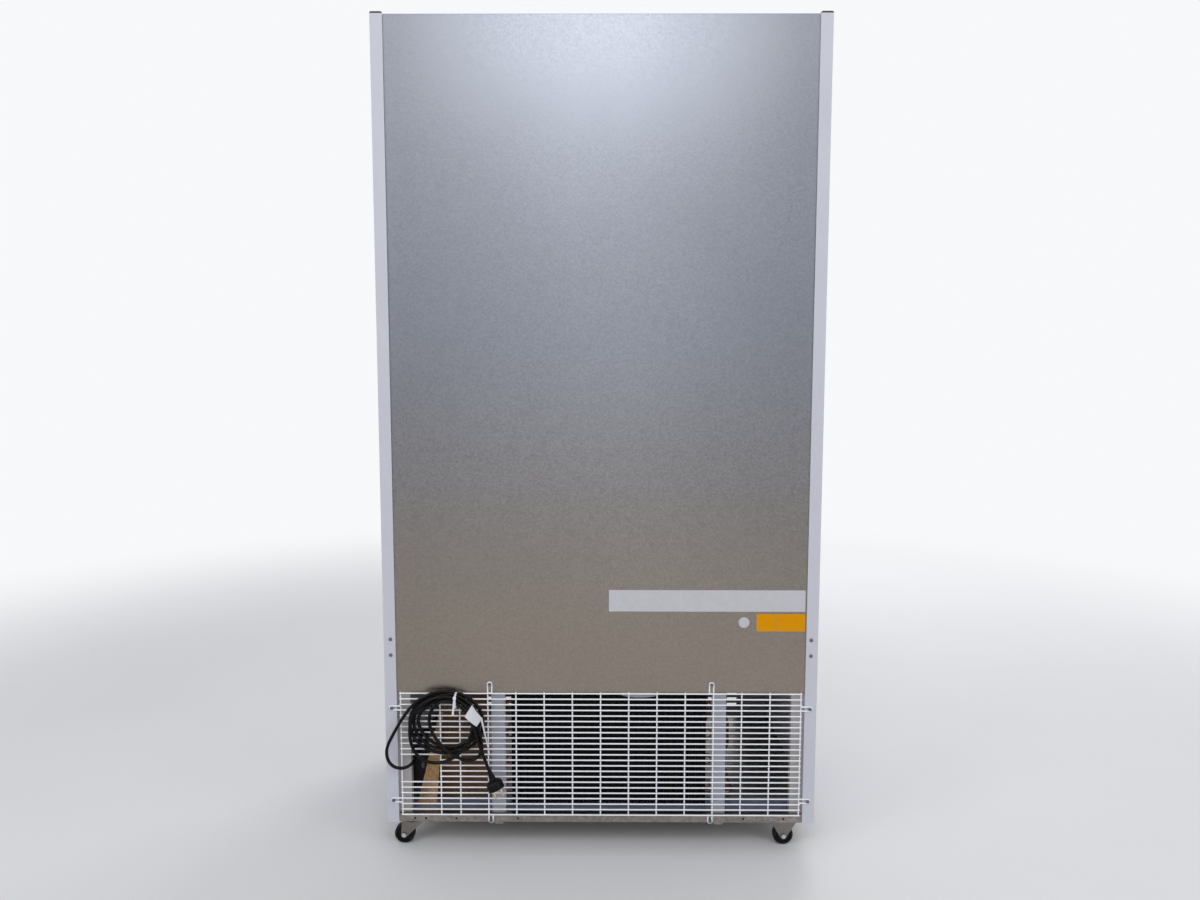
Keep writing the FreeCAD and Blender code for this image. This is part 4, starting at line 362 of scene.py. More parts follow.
@dataclass(frozen=True)
class Painted:
    """Powder-coated or dipped sheet and wire, with fine orange peel and rubbed dirt."""

    name: str
    colour: Colour
    rough: float = 0.38
    peel: float = 900.0
    depth: float = 0.00003
    soil: float = 0.06
    coat: float = 0.15
    specular: float = 0.5
    flank: Colour | None = None
    flank_from: float = 0.40
    flank_blur: float = 0.001
    flank_soil: float = 0.12
    patches: Pattern = Pattern(6.0, 4.0)
    specks: Pattern = Pattern(260.0, FINE)
    speck_limits: Pair = (0.62, 0.78)
    speck_cover: float = 0.35
    speck_tone: float = 0.78
    wear: Pair = (0.06, 0.08)
    peel_strength: float = 0.5
    coat_rough: float = 0.2

    def material(self) -> bpy.types.Material:
        """Builds the material.

        Returns:
            The material, with a second colour far out to both sides where a flank is given.
        """
        recipe = Recipe(self.name)
        clouds = recipe.noise(self.patches)
        specks = recipe.noise(self.specks)
        base = recipe.shaded(self.colour, clouds, self.soil)
        if self.flank is not None:
            across = recipe.arithmetic("ABSOLUTE", recipe.along("X"))
            beside = recipe.step(across, self.flank_from, self.flank_blur)
            base = recipe.blend(beside, base, recipe.shaded(self.flank, clouds, self.flank_soil))
        speckled = recipe.spread(specks, 0.0, self.speck_cover, *self.speck_limits)
        recipe.colour(recipe.blend(speckled, base, scaled(self.colour, self.speck_tone)))
        recipe.rough(clouds, *around(self.rough, self.wear))
        recipe.bump(recipe.noise(Pattern(self.peel, FINE)), self.depth, self.peel_strength)
        recipe.set(Coat_Weight=self.coat, Coat_Roughness=self.coat_rough,
                   Specular_IOR_Level=self.specular)
        return recipe.material


@dataclass(frozen=True)
class Zinc:
    """Galvanised sheet with small crystals, a painted reflection that is warmer low down and cooler
    high up, and painted shade that darkens it to both sides.
    """

    name: str
    colour: Colour
    # Colour of the painted reflection low down, and the heights over which it turns into the colour
    # above.
    low_reflection_colour: Colour
    reflection_heights: Pair = (0.45, 1.35)
    crystal: float = 330.0
    contrast: float = 0.10
    rough: float = 0.36
    wear: Pair = (0.05, 0.07)
    gleam: float = 0.6
    clouds: Pattern = Pattern(3.0, 5.0)
    cloud_stops: Pair = (0.3, 0.7)
    cloud_level: float = 0.95
    grit: Pattern = Pattern(1400.0, FINE)
    cell_relief: Pair = (0.00002, 0.35)
    grit_relief: Pair = (0.00001, 0.3)
    # Painted shade to both sides: how much, where it begins and ends across X, and its share low
    # down.
    side: float = 0.0
    side_shade_limits: Pair = (0.06, 0.46)
    side_shade_low: float = 0.3
    tray: Colour | None = None
    tray_metal: float = 0.3
    tray_box: tuple[tuple[str, float, float], ...] = (
        ("Y", 0.3355, 0.3360), ("Y", 0.2700, 0.2400), ("Z", 0.0935, 0.0930), ("Z", 0.1250, 0.1255),
    )

    def with_side_shade(self, recipe: Recipe, sheet: Socket, rise: Socket) -> Socket:
        """Sheet with painted shade that darkens it to both sides, most of all high up.

        Args:
            recipe: The material under construction.
            sheet: The sheet's colour.
            rise: Share of the way up the painted reflection.

        Returns:
            The colour with the painted shade.
        """
        across = recipe.arithmetic("ABSOLUTE", recipe.along("X"))
        outward = recipe.spread(across, 0.0, 1.0, *self.side_shade_limits)
        share = recipe.arithmetic("MULTIPLY", outward, recipe.spread(rise, self.side_shade_low, 1.0))
        return recipe.blend(share, sheet, recipe.tinted(sheet, grey(1 - self.side)))

    def with_tray(self, recipe: Recipe, sheet: Socket) -> Socket:
        """Sheet with the painted tray of the machine compartment, inside the tray's box.

        Args:
            recipe: The material under construction.
            sheet: The sheet's colour.

        Returns:
            The colour of both. The tray is also less metallic than the sheet.
        """
        outside = 0.0
        for axis, edge, beyond in self.tray_box:
            past = recipe.spread(recipe.along(axis), 0.0, 1.0, edge, beyond)
            outside = recipe.arithmetic("MAXIMUM", outside, past)
        recipe.feed(recipe.shader.inputs["Metallic"], recipe.spread(outside, self.tray_metal, 1.0))
        return recipe.blend(outside, self.tray, sheet)

    def material(self) -> bpy.types.Material:
        """Builds the material.

        Returns:
            The material.
        """
        recipe = Recipe(self.name)
        recipe.set(Metallic=1.0)
        cells = recipe.add("TexVoronoi", Vector=recipe.place, Scale=self.crystal, Randomness=1.0)
        flake = recipe.add("SeparateXYZ", Vector=cells.outputs["Color"]).outputs["X"]
        # Painted reflection: the sheet's colour runs from a warm tone low down to a cool one high
        # up.
        rise = recipe.eased(recipe.along("Z"), self.reflection_heights)
        sheet = recipe.blend(rise, self.low_reflection_colour, self.colour)
        dim, bright = grey(1 - self.contrast), grey(1 + self.contrast * self.gleam)
        sheet = recipe.tinted(sheet, recipe.ramp(flake, (0.0, dim), (1.0, bright)))
        levels = zip(self.cloud_stops, (grey(self.cloud_level), grey(1.0)))
        sheet = recipe.tinted(sheet, recipe.ramp(recipe.noise(self.clouds), *levels))
        # Painted shade: the sheet darkens towards both sides, most of all high up.
        if self.side:
            sheet = self.with_side_shade(recipe, sheet, rise)
        if self.tray is not None:
            sheet = self.with_tray(recipe, sheet)
        recipe.colour(sheet)
        recipe.rough(flake, *around(self.rough, self.wear))
        under = recipe.bump(cells.outputs["Distance"], *self.cell_relief)
        recipe.bump(recipe.noise(self.grit), *self.grit_relief, under)
        return recipe.material


@dataclass(frozen=True)
class BareMetal:
    """Rolled, plated or drawn metal with streaks along its grain and brighter axle bolts."""

    name: str
    colour: Colour
    rough: float = 0.3
    grain: Grain = Grain.NONE
    streaks: float = 900.0
    stain: float = 0.10
    streak_limits: Pair = (0.45, 0.75)
    streak_cover: float = 0.4
    streak_tone: float = 0.8
    stains: Pattern = Pattern(14.0, 5.0)
    wear: Pair = (0.07, 0.12)
    relief: Pair = (0.00002, 0.3)
    bolts: tuple[Pair, ...] = ()
    bolt_radius: float = 0.0052
    bolt_blur: float = 0.0004
    bolt_colour: Colour = tone(214, 214, 218)

    def on_bolt(self, recipe: Recipe, x: float, z: float) -> Socket:
        """Share that is 1 on the head of a bolt that lies along Y.

        Args:
            recipe: The material under construction.
            x: The bolt's X in metres.
            z: The bolt's Z in metres.

        Returns:
            The share.
        """
        flat = recipe.add("VectorMath", Vector=recipe.place)
        flat.operation = "MULTIPLY"
        flat.inputs[1].default_value = (1.0, 0.0, 1.0)
        away = recipe.add("VectorMath", Vector=flat.outputs["Vector"])
        away.operation = "DISTANCE"
        away.inputs[1].default_value = (x, 0.0, z)
        rim = self.bolt_radius
        return recipe.spread(away.outputs["Value"], 1.0, 0.0, rim, rim + self.bolt_blur)

    def material(self) -> bpy.types.Material:
        """Builds the material.

        Returns:
            The material.
        """
        recipe = Recipe(self.name)
        streaks = recipe.noise(Pattern(self.streaks), self.grain)
        base = recipe.shaded(self.colour, recipe.noise(self.stains), self.stain)
        streaked = recipe.spread(streaks, 0.0, self.streak_cover, *self.streak_limits)
        metal = recipe.blend(streaked, base, scaled(self.colour, self.streak_tone))
        for x, z in self.bolts:
            metal = recipe.blend(self.on_bolt(recipe, x, z), metal, self.bolt_colour)
        recipe.colour(metal)
        recipe.rough(streaks, *around(self.rough, self.wear))
        recipe.bump(streaks, *self.relief)
        recipe.set(Metallic=1.0)
        return recipe.material


@dataclass(frozen=True)
class Moulded:
    """Moulded plastic or rubber with a fine spark-eroded grain and a little dust."""

    name: str
    colour: Colour
    rough: float = 0.45
    grain: float = 1600.0
    depth: float = 0.00004
    dust: float = 0.05
    dust_level: float = 0.45
    dust_limits: Pair = (0.5, 0.75)
    dust_cover: float = 0.8
    dusting: Pattern = Pattern(90.0)
    clouds: Pattern = Pattern(18.0, 4.0)
    cloud_depth: float = 0.10
    wear: Pair = (0.06, 0.10)
    grain_strength: float = 0.45
    specular: float = 0.5

    def material(self) -> bpy.types.Material:
        """Builds the material.

        Returns:
            The material.
        """
        recipe = Recipe(self.name)
        clouds = recipe.noise(self.clouds)
        base = recipe.shaded(self.colour, clouds, self.cloud_depth)
        dusty = tuple(channel + self.dust_level * self.dust
                      for channel in scaled(self.colour, 1 - self.dust))
        cover = recipe.spread(recipe.noise(self.dusting), 0.0, self.dust_cover, *self.dust_limits)
        recipe.colour(recipe.blend(cover, base, dusty))
        recipe.rough(clouds, *around(self.rough, self.wear))
        recipe.bump(recipe.noise(Pattern(self.grain, FINE)), self.depth, self.grain_strength)
        recipe.set(Specular_IOR_Level=self.specular)
        return recipe.material


@dataclass(frozen=True)
class Lead:
    """Extruded rubber sheath of the mains lead, with a soft shine and scuffs."""

    name: str
    colour: Colour
    scuffs: Pattern = Pattern(60.0, 5.0)
    scuff_stops: Pair = (0.35, 0.8)
    scuff_tone: float = 2.2
    rough: Pair = (0.22, 0.36)
    skin: Pattern = Pattern(700.0)
    relief: Pair = (0.00006, 0.25)
    specular: float = 0.18

    def material(self) -> bpy.types.Material:
        """Builds the material.

        Returns:
            The material.
        """
        recipe = Recipe(self.name)
        scuffs = recipe.noise(self.scuffs)
        tones = (self.colour, scaled(self.colour, self.scuff_tone))
        recipe.colour(recipe.ramp(scuffs, *zip(self.scuff_stops, tones)))
        recipe.rough(scuffs, *self.rough)
        recipe.bump(recipe.noise(self.skin), *self.relief)
        recipe.set(Specular_IOR_Level=self.specular)
        return recipe.material


@dataclass(frozen=True)
class FibreBoard:
    """Pressed fibreboard: matted fibres with stains, and painted shade on the board behind."""

    name: str
    light: Colour
    dark: Colour
    fibre_stops: Pair = (0.32, 0.66)
    stains: Pattern = Pattern(20.0, 4.0)
    stain_limits: Pair = (0.5, 0.8)
    stain_cover: float = 0.7
    stain_tone: float = 0.6
    rough: Pair = (0.8, 0.95)
    relief: Pair = (0.0004, 0.6)
    painted_shade: Colour = (0.34, 0.29, 0.30)
    shade_to: float = 0.275
    shade_blur: float = 0.0005

    def material(self) -> bpy.types.Material:
        """Builds the material.

        Returns:
            The material.
        """
        recipe = Recipe(self.name)
        fibres = recipe.add("TexNoise", Vector=recipe.stretched((1.0, 1.0, 0.35)), Scale=420.0,
                            Detail=6.0, Roughness=0.7, Distortion=0.8).outputs["Fac"]
        base = recipe.ramp(fibres, *zip(self.fibre_stops, (self.dark, self.light)))
        stains = recipe.spread(recipe.noise(self.stains), 0.0, self.stain_cover,
                               *self.stain_limits)
        board = recipe.blend(stains, base, scaled(self.dark, self.stain_tone))
        # Painted shade: the board behind the front plank is multiplied by a dark tint.
        front = recipe.step(recipe.along("Y"), self.shade_to, self.shade_blur)
        recipe.colour(recipe.blend(front, recipe.tinted(board, self.painted_shade), board))
        recipe.rough(fibres, *self.rough)
        recipe.bump(fibres, *self.relief)
        return recipe.material


@dataclass(frozen=True)
class Paper:
    """Blank sticker or tag stock: smooth, with faint fibres and a few handling marks."""

    name: str
    colour: Colour
    rough: float = 0.5
    wear: Pair = (0.05, 0.1)
    marks: Pattern = Pattern(70.0, 5.0)
    mark_depth: float = 0.035
    fibres: Pattern = Pattern(1100.0)
    relief: Pair = (0.00003, 0.3)
    specular: float = 0.3

    def material(self) -> bpy.types.Material:
        """Builds the material.

        Returns:
            The material.
        """
        recipe = Recipe(self.name)
        marks = recipe.noise(self.marks)
        recipe.colour(recipe.shaded(self.colour, marks, self.mark_depth))
        recipe.rough(marks, *around(self.rough, self.wear))
        recipe.bump(recipe.noise(self.fibres), *self.relief)
        recipe.set(Specular_IOR_Level=self.specular)
        return recipe.material


@dataclass(frozen=True)
class Pane:
    """Clear float glass with a faint green cast and wiped smears."""

    name: str
    colour: Colour
    smears: Pattern = Pattern(9.0, 6.0)
    smear_depth: float = 0.01
    rough: Pair = (0.0, 0.05)
    index: float = 1.5

    def material(self) -> bpy.types.Material:
        """Builds the material.

        Returns:
            The material.
        """
        recipe = Recipe(self.name)
        smears = recipe.noise(self.smears)
        recipe.rough(smears, *self.rough)
        recipe.colour(recipe.shaded(self.colour, smears, self.smear_depth))
        recipe.set(Transmission_Weight=1.0, IOR=self.index)
        return recipe.material


def finishes() -> Finishes:
    """Every finish of the part, by the record's slot.

    Returns:
        The materials by slot name.
    """
    made = [
        Painted("skin_paint", tone(198, 199, 209), soil=0.03),
        # The back panel's colour holds a painted reflection, warm low down and cool high up, and
        # painted shade to both sides.
        Zinc("galvanised_sheet", tone(157, 161, 171), tone(159, 149, 138), (0.50, 1.35), side=0.26),
        Zinc("chassis_zinc", tone(160, 158, 158), tone(156, 150, 145), (0.0, 0.4), crystal=140.0,
             contrast=0.22, tray=tone(150, 162, 186)),
        Moulded("foam", tone(226, 206, 150), 0.85, 500.0, 0.0005),
        Painted("liner_white", tone(232, 234, 235), 0.3, soil=0.02),
        Painted("frame_white", tone(220, 222, 228), 0.35, soil=0.03),
        Painted("upright_grey", tone(168, 170, 180), 0.42, soil=0.05, flank=tone(178, 174, 174)),
        Painted("grille_white", tone(244, 245, 250), 0.28, 500.0, soil=0.03, coat=0.5),
        BareMetal("screw_steel", tone(120, 122, 130), 0.32, Grain.NONE, 2200.0),
        Moulded("cap_dark", tone(44, 45, 52), 0.5),
        Painted("door_paint", tone(214, 216, 222), 0.32, soil=0.03),
        Moulded("control_black", tone(26, 27, 30), 0.32),
        Moulded("switch_black", tone(20, 20, 22), 0.3),
        Moulded("button_grey", tone(150, 154, 160), 0.4),
        BareMetal("shelf_steel", tone(178, 180, 184), 0.3, Grain.ALONG_Z),
        Painted("shelf_wire", tone(226, 228, 234), 0.3, 600.0, coat=0.5),
        Moulded("light_diffuser", tone(240, 242, 246), 0.35, dust=0.0),
        BareMetal("evaporator_aluminium", tone(196, 198, 202), 0.34, Grain.ALONG_Z),
        Moulded("fan_black", tone(16, 16, 18), 0.5, dust=0.02, specular=0.2),
        Painted("motor_steel", tone(72, 74, 80), 0.4, soil=0.12),
        Painted("compressor_black", tone(10, 10, 12), 0.5, 300.0, soil=0.25, coat=0.0,
                specular=0.12),
        Moulded("mount_rubber", tone(24, 24, 25), 0.7),
        BareMetal("pipe_copper", tone(146, 108, 92), 0.42, Grain.NONE, 300.0, 0.25),
        Moulded("drain_plastic", tone(176, 178, 184), 0.4),
        FibreBoard("board_fibre", tone(206, 168, 118), tone(122, 90, 58)),
        Moulded("box_black", tone(22, 23, 26), 0.45, dust=0.02, specular=0.25),
        BareMetal("castor_zinc", tone(136, 132, 126), 0.4, Grain.NONE, 500.0, 0.14,
                  bolts=((0.492, 0.025), (-0.458, 0.025))),
        Moulded("tyre_rubber", tone(18, 18, 20), 0.6, 900.0, 0.0001, dust=0.05, specular=0.2),
        Pane("glass", tone(253, 254, 254)),
        Moulded("gasket_grey", tone(132, 134, 140), 0.55),
        BareMetal("handle_aluminium", tone(190, 192, 196), 0.26, Grain.ALONG_Z),
        BareMetal("lock_chrome", tone(200, 202, 206), 0.14),
        Lead("cord_black", tone(5, 5, 6)),
        Moulded("tie_white", tone(228, 230, 236), 0.35),
        Moulded("plug_black", tone(9, 9, 10), 0.42, dust=0.01, specular=0.16),
        BareMetal("pin_brass", tone(226, 200, 146), 0.26, Grain.NONE, 900.0),
        Paper("sticker_white", tone(196, 195, 201), 0.5),
        Paper("sticker_amber", tone(220, 147, 0), 0.6, specular=0.1),
        Paper("tag_paper", tone(216, 217, 224), 0.55),
        Moulded("knock_out_grey", tone(92, 94, 98), 0.5),
    ]
    return {finish.name: finish.material() for finish in made}


def deselect() -> None:
    """Leaves nothing selected, so that an operator acts on the new piece alone."""
    bpy.ops.object.select_all(action="DESELECT")


def activate(piece: bpy.types.Object) -> None:
    """Selects one piece alone and makes it the active one.

    Args:
        piece: The piece.
    """
    deselect()
    piece.select_set(True)
    bpy.context.view_layer.objects.active = piece


def place_in_mesh() -> None:
    """Puts the place, turn and size of the selected piece into its mesh."""
    bpy.ops.object.transform_apply(location=True, rotation=True, scale=True)


def edit(piece: bpy.types.Object, kind: str = "FACE") -> None:
    """Enters edit mode on one piece, with nothing of its mesh selected.

    Args:
        piece: The piece.
        kind: What is selected in it: "VERT", "EDGE" or "FACE".
    """
    activate(piece)
    bpy.ops.object.mode_set(mode="EDIT")
    bpy.ops.mesh.select_mode(type=kind)
    bpy.ops.mesh.select_all(action="DESELECT")


def leave_edit() -> None:
    """Leaves edit mode."""
    bpy.ops.object.mode_set(mode="OBJECT")


def select_whole() -> None:
    """Selects all of the mesh in edit mode."""
    bpy.ops.mesh.select_all(action="SELECT")


def turn_outwards() -> None:
    """Turns every face of the mesh in edit mode outwards."""
    select_whole()
    bpy.ops.mesh.normals_make_consistent(inside=False)


def choose(piece: bpy.types.Object, wanted: Callable[[bmesh.types.BMFace], bool]) -> None:
    """Selects the faces that meet a test, and no others.

    Args:
        piece: The piece in edit mode.
        wanted: The test of a face.
    """
    mesh = bmesh.from_edit_mesh(piece.data)
    for face in mesh.faces:
        face.select_set(wanted(face))
    bmesh.update_edit_mesh(piece.data)


def dress(piece: bpy.types.Object, material: bpy.types.Material) -> None:
    """Gives a piece its one material."""
    piece.data.materials.clear()
    piece.data.materials.append(material)


def settle(piece: bpy.types.Object, name: str, smooth: float = 35.0) -> bpy.types.Object:
    """Names a piece, puts its place into its mesh and shades it.

    Args:
        piece: The mesh object, in any place and turn.
        name: The piece's final name.
        smooth: Angle in degrees under which an edge is shaded smooth.

    Returns:
        The piece, at the origin.
    """
    activate(piece)
    place_in_mesh()
    bpy.ops.object.shade_smooth_by_angle(angle=math.radians(smooth))
    piece.name = name
    piece.data.name = name
    return piece


def block(centre: Point, size: Point) -> bpy.types.Object:
    """Oblong block that is still to be shaped.

    Args:
        centre: Its centre in metres.
        size: Its lengths along X, Y and Z.

    Returns:
        The block, at the origin, with its place in its mesh.
    """
    deselect()
    bpy.ops.mesh.primitive_cube_add(size=1, location=centre)
    piece = bpy.context.object
    piece.scale = size
    place_in_mesh()
    return piece


def lathe(sides: int, stations: Sequence[Pair]) -> bpy.types.Object:
    """Round piece drawn up from a disc by steps of extrusion and scaling.

    Args:
        sides: Number of sides of the round.
        stations: Radius and height of each step in metres, from the lowest to the highest.

    Returns:
        The piece, standing on the local Z axis.
    """
    deselect()
    radius, height = stations[0]
    bpy.ops.mesh.primitive_circle_add(vertices=sides, radius=radius, fill_type="NGON",
                                      location=(0, 0, 0))
    piece = bpy.context.object
    edit(piece)
    select_whole()
    bpy.ops.transform.translate(value=(0, 0, height))
    for wider, higher in stations[1:]:
        bpy.ops.mesh.extrude_region_move(TRANSFORM_OT_translate={"value": (0, 0, higher - height)})
        share = wider / radius
        bpy.ops.transform.resize(value=(share, share, 1), center_override=(0, 0, higher))
        radius, height = wider, higher
    turn_outwards()
    leave_edit()
    return piece


def smooth_line(curve: bpy.types.Curve, places: Sequence[Point],
                closed: bool = False) -> bpy.types.Spline:
    """Adds one smooth spline to a curve.

    Args:
        curve: The curve that gets it.
        places: Its control points in metres.
        closed: Whether it closes into a loop.

    Returns:
        The spline.
    """
    curve.dimensions = "3D"
    spline = curve.splines.new("NURBS")
    spline.points.add(len(places) - 1)
    for point, place in zip(spline.points, places):
        point.co = (*place, 1.0)
    spline.order_u = 3
    spline.use_cyclic_u = closed
    spline.use_endpoint_u = not closed
    return spline


def placed(name: str, data: bpy.types.ID) -> bpy.types.Object:
    """Puts data into the scene.

    Args:
        name: Name of its object.
        data: The curve, camera or lamp.

    Returns:
        The object.
    """
    piece = bpy.data.objects.new(name, data)
    bpy.context.scene.collection.objects.link(piece)
    return piece


def as_mesh(curve: bpy.types.Curve) -> bpy.types.Object:
    """Turns a curve into a mesh.

    Args:
        curve: The curve, which isn't in the scene yet.

    Returns:
        The mesh object, which is the active one.
    """
    activate(placed(curve.name, curve))
    bpy.ops.object.convert(target="MESH")
    return bpy.context.object


def thicken(piece: bpy.types.Object, thickness: float, offset: float) -> None:
    """Gives a thin active piece its thickness.

    Args:
        piece: The piece, which is the active one.
        thickness: Its thickness in metres.
        offset: Side that it grows to: -1 to the back of its faces, 0 to both.
    """
    solid = piece.modifiers.new("thickness", "SOLIDIFY")
    solid.thickness = thickness
    solid.offset = offset
    bpy.ops.object.modifier_apply(modifier=solid.name)


def ribbon(path: Sequence[Pair], width: float, thickness: float,
           closed: bool) -> bpy.types.Object:
    """Strap that runs along a flat path.

    Args:
        path: Points of the path in metres, on the local XY plane.
        width: Width along local Z.
        thickness: Thickness of the strap, to both sides of the path.
        closed: Whether the strap closes into a loop.

    Returns:
        The strap as a mesh.
    """
    curve = bpy.data.curves.new("ribbon", "CURVE")
    curve.extrude = width / 2
    curve.resolution_u = 5
    smooth_line(curve, [(x, y, 0.0) for x, y in path], closed)
    piece = as_mesh(curve)
    thicken(piece, thickness, 0.0)
    return piece


def joined(pieces: Sequence[bpy.types.Object]) -> bpy.types.Object:
    """Joins pieces into the first of them.

    Args:
        pieces: The pieces, each with its materials already on.

    Returns:
        The one piece.
    """
    deselect()
    for piece in pieces:
        piece.select_set(True)
    bpy.context.view_layer.objects.active = pieces[0]
    bpy.ops.object.join()
    return bpy.context.object


@dataclass
class Viewpoint:
    """Camera at the photograph's place, solved from the cabinet's edges."""

    place: Point = (-0.0082, 2.47265, 1.2055)
    pitch: float = math.radians(5.60)
    yaw: float = -0.0048
    roll: float = 0.001
    lens: float = 27.0
    sensor: float = 36.0
    nearest: float = 0.02

    def build(self) -> bpy.types.Object:
        """Adds the camera and makes it the scene's own.

        Returns:
            The camera.
        """
        data = bpy.data.cameras.new("viewpoint")
        data.lens = self.lens
        data.sensor_width = self.sensor
        data.clip_start = self.nearest
        camera = placed("viewpoint", data)
        turn = Matrix.Rotation(math.pi - self.yaw, 4, "Z")
        tilt = Matrix.Rotation(QUARTER_TURN - self.pitch, 4, "X")
        lean = Matrix.Rotation(self.roll, 4, "Z")
        camera.matrix_world = Matrix.Translation(self.place) @ turn @ tilt @ lean
        bpy.context.scene.camera = camera
        return camera


@dataclass(frozen=True)
class Lamp:
    """Rectangular lamp that faces a target."""

    name: str
    place: Point
    target: Point
    power: float
    size: Pair

    def build(self) -> bpy.types.Object:
        """Adds the lamp.

        Returns:
            The lamp.
        """
        data = bpy.data.lights.new(self.name, "AREA")
        data.shape = "RECTANGLE"
        data.size, data.size_y = self.size
        data.energy = self.power
        lamp = placed(self.name, data)
        lamp.location = self.place
        aim = Vector(self.target) - Vector(self.place)
        lamp.rotation_euler = aim.to_track_quat("-Z", "Y").to_euler()
        return lamp


@dataclass
class Studio:
    """Pale floor that fades into the background, soft lamps and an even surround."""

    floor: Colour = tone(226, 226, 228)
    floor_clouds: Pattern = Pattern(2.0)
    floor_depth: float = 0.01
    floor_rough: float = 0.85
    floor_specular: float = 0.2
    half: float = 30.0
    fade: Pair = (1.6, 4.6)
    background: Colour = (0.93, 0.94, 0.96)
    light: Colour = (0.96, 0.98, 1.0)
    surround: float = 0.62
    lamps: tuple[Lamp, ...] = (
        Lamp("ceiling_lamp", (0.05, 2.6, 2.9), (0.0, 0.35, 1.6), 12.0, (1.7, 0.9)),
        Lamp("left_lamp", (2.6, 2.6, 2.2), (0.0, 0.3, 0.9), 22.0, (1.4, 1.4)),
        Lamp("right_lamp", (-2.6, 2.4, 2.0), (0.0, 0.3, 0.9), 16.0, (1.4, 1.4)),
        Lamp("front_lamp", (-1.6, -3.2, 2.6), (0.0, -0.3, 1.0), 55.0, (1.6, 1.6)),
    )

    def build(self) -> None:
        """Adds the floor, the lamps and the world."""
        deselect()
        bpy.ops.mesh.primitive_plane_add(size=2 * self.half, location=(0, 0, 0))
        floor = settle(bpy.context.object, "studio_floor")
        dress(floor, self.floor_finish())
        for lamp in self.lamps:
            lamp.build()
        self.world()
        bpy.context.scene.view_settings.view_transform = "Standard"

    def floor_finish(self) -> bpy.types.Material:
        """Matt floor that fades into the background with distance, so that no horizon shows.

        Returns:
            The material.
        """
        recipe = Recipe("studio_floor")
        clouds = recipe.noise(self.floor_clouds)
        recipe.colour(recipe.shaded(self.floor, clouds, self.floor_depth))
        recipe.set(Roughness=self.floor_rough, Specular_IOR_Level=self.floor_specular)
        radius = recipe.add("VectorMath", Vector=recipe.place)
        radius.operation = "LENGTH"
        far = recipe.eased(radius.outputs["Value"], self.fade, "SMOOTHERSTEP")
        seen = recipe.add("LightPath").outputs["Is Camera Ray"]
        white = recipe.add("Emission", Color=self.background, Strength=1.0)
        mix = recipe.add("MixShader")
        parts = (recipe.arithmetic("MULTIPLY", far, seen), recipe.shader.outputs[0],
                 white.outputs[0])
        for socket, part in zip(mix.inputs, parts):
            recipe.feed(socket, part)
        recipe.feed(recipe.tree.nodes["Material Output"].inputs["Surface"], mix.outputs[0])
        return recipe.material

    def world(self) -> None:
        """Sets a white background for the eye, gloss and glass, and a softer one for the rest."""
        world = bpy.data.worlds.new("surround")
        bpy.context.scene.world = world
        world.use_nodes = True
        tree = world.node_tree
        shown = tree.nodes["Background"]
        soft = tree.nodes.new("ShaderNodeBackground")
        for node, colour, strength in ((shown, self.background, 1.0),
                                       (soft, self.light, self.surround)):
            node.inputs["Color"].default_value = (*colour, 1.0)
            node.inputs["Strength"].default_value = strength
        path = tree.nodes.new("ShaderNodeLightPath")
        either = path.outputs["Is Camera Ray"]
        for name in ("Is Glossy Ray", "Is Transmission Ray"):
            larger = tree.nodes.new("ShaderNodeMath")
            larger.operation = "MAXIMUM"
            tree.links.new(either, larger.inputs[0])
            tree.links.new(path.outputs[name], larger.inputs[1])
            either = larger.outputs[0]
        mix = tree.nodes.new("ShaderNodeMixShader")
        for source, socket in zip((either, soft.outputs[0], shown.outputs[0]), mix.inputs):
            tree.links.new(source, socket)
        tree.links.new(mix.outputs[0], tree.nodes["World Output"].inputs["Surface"])


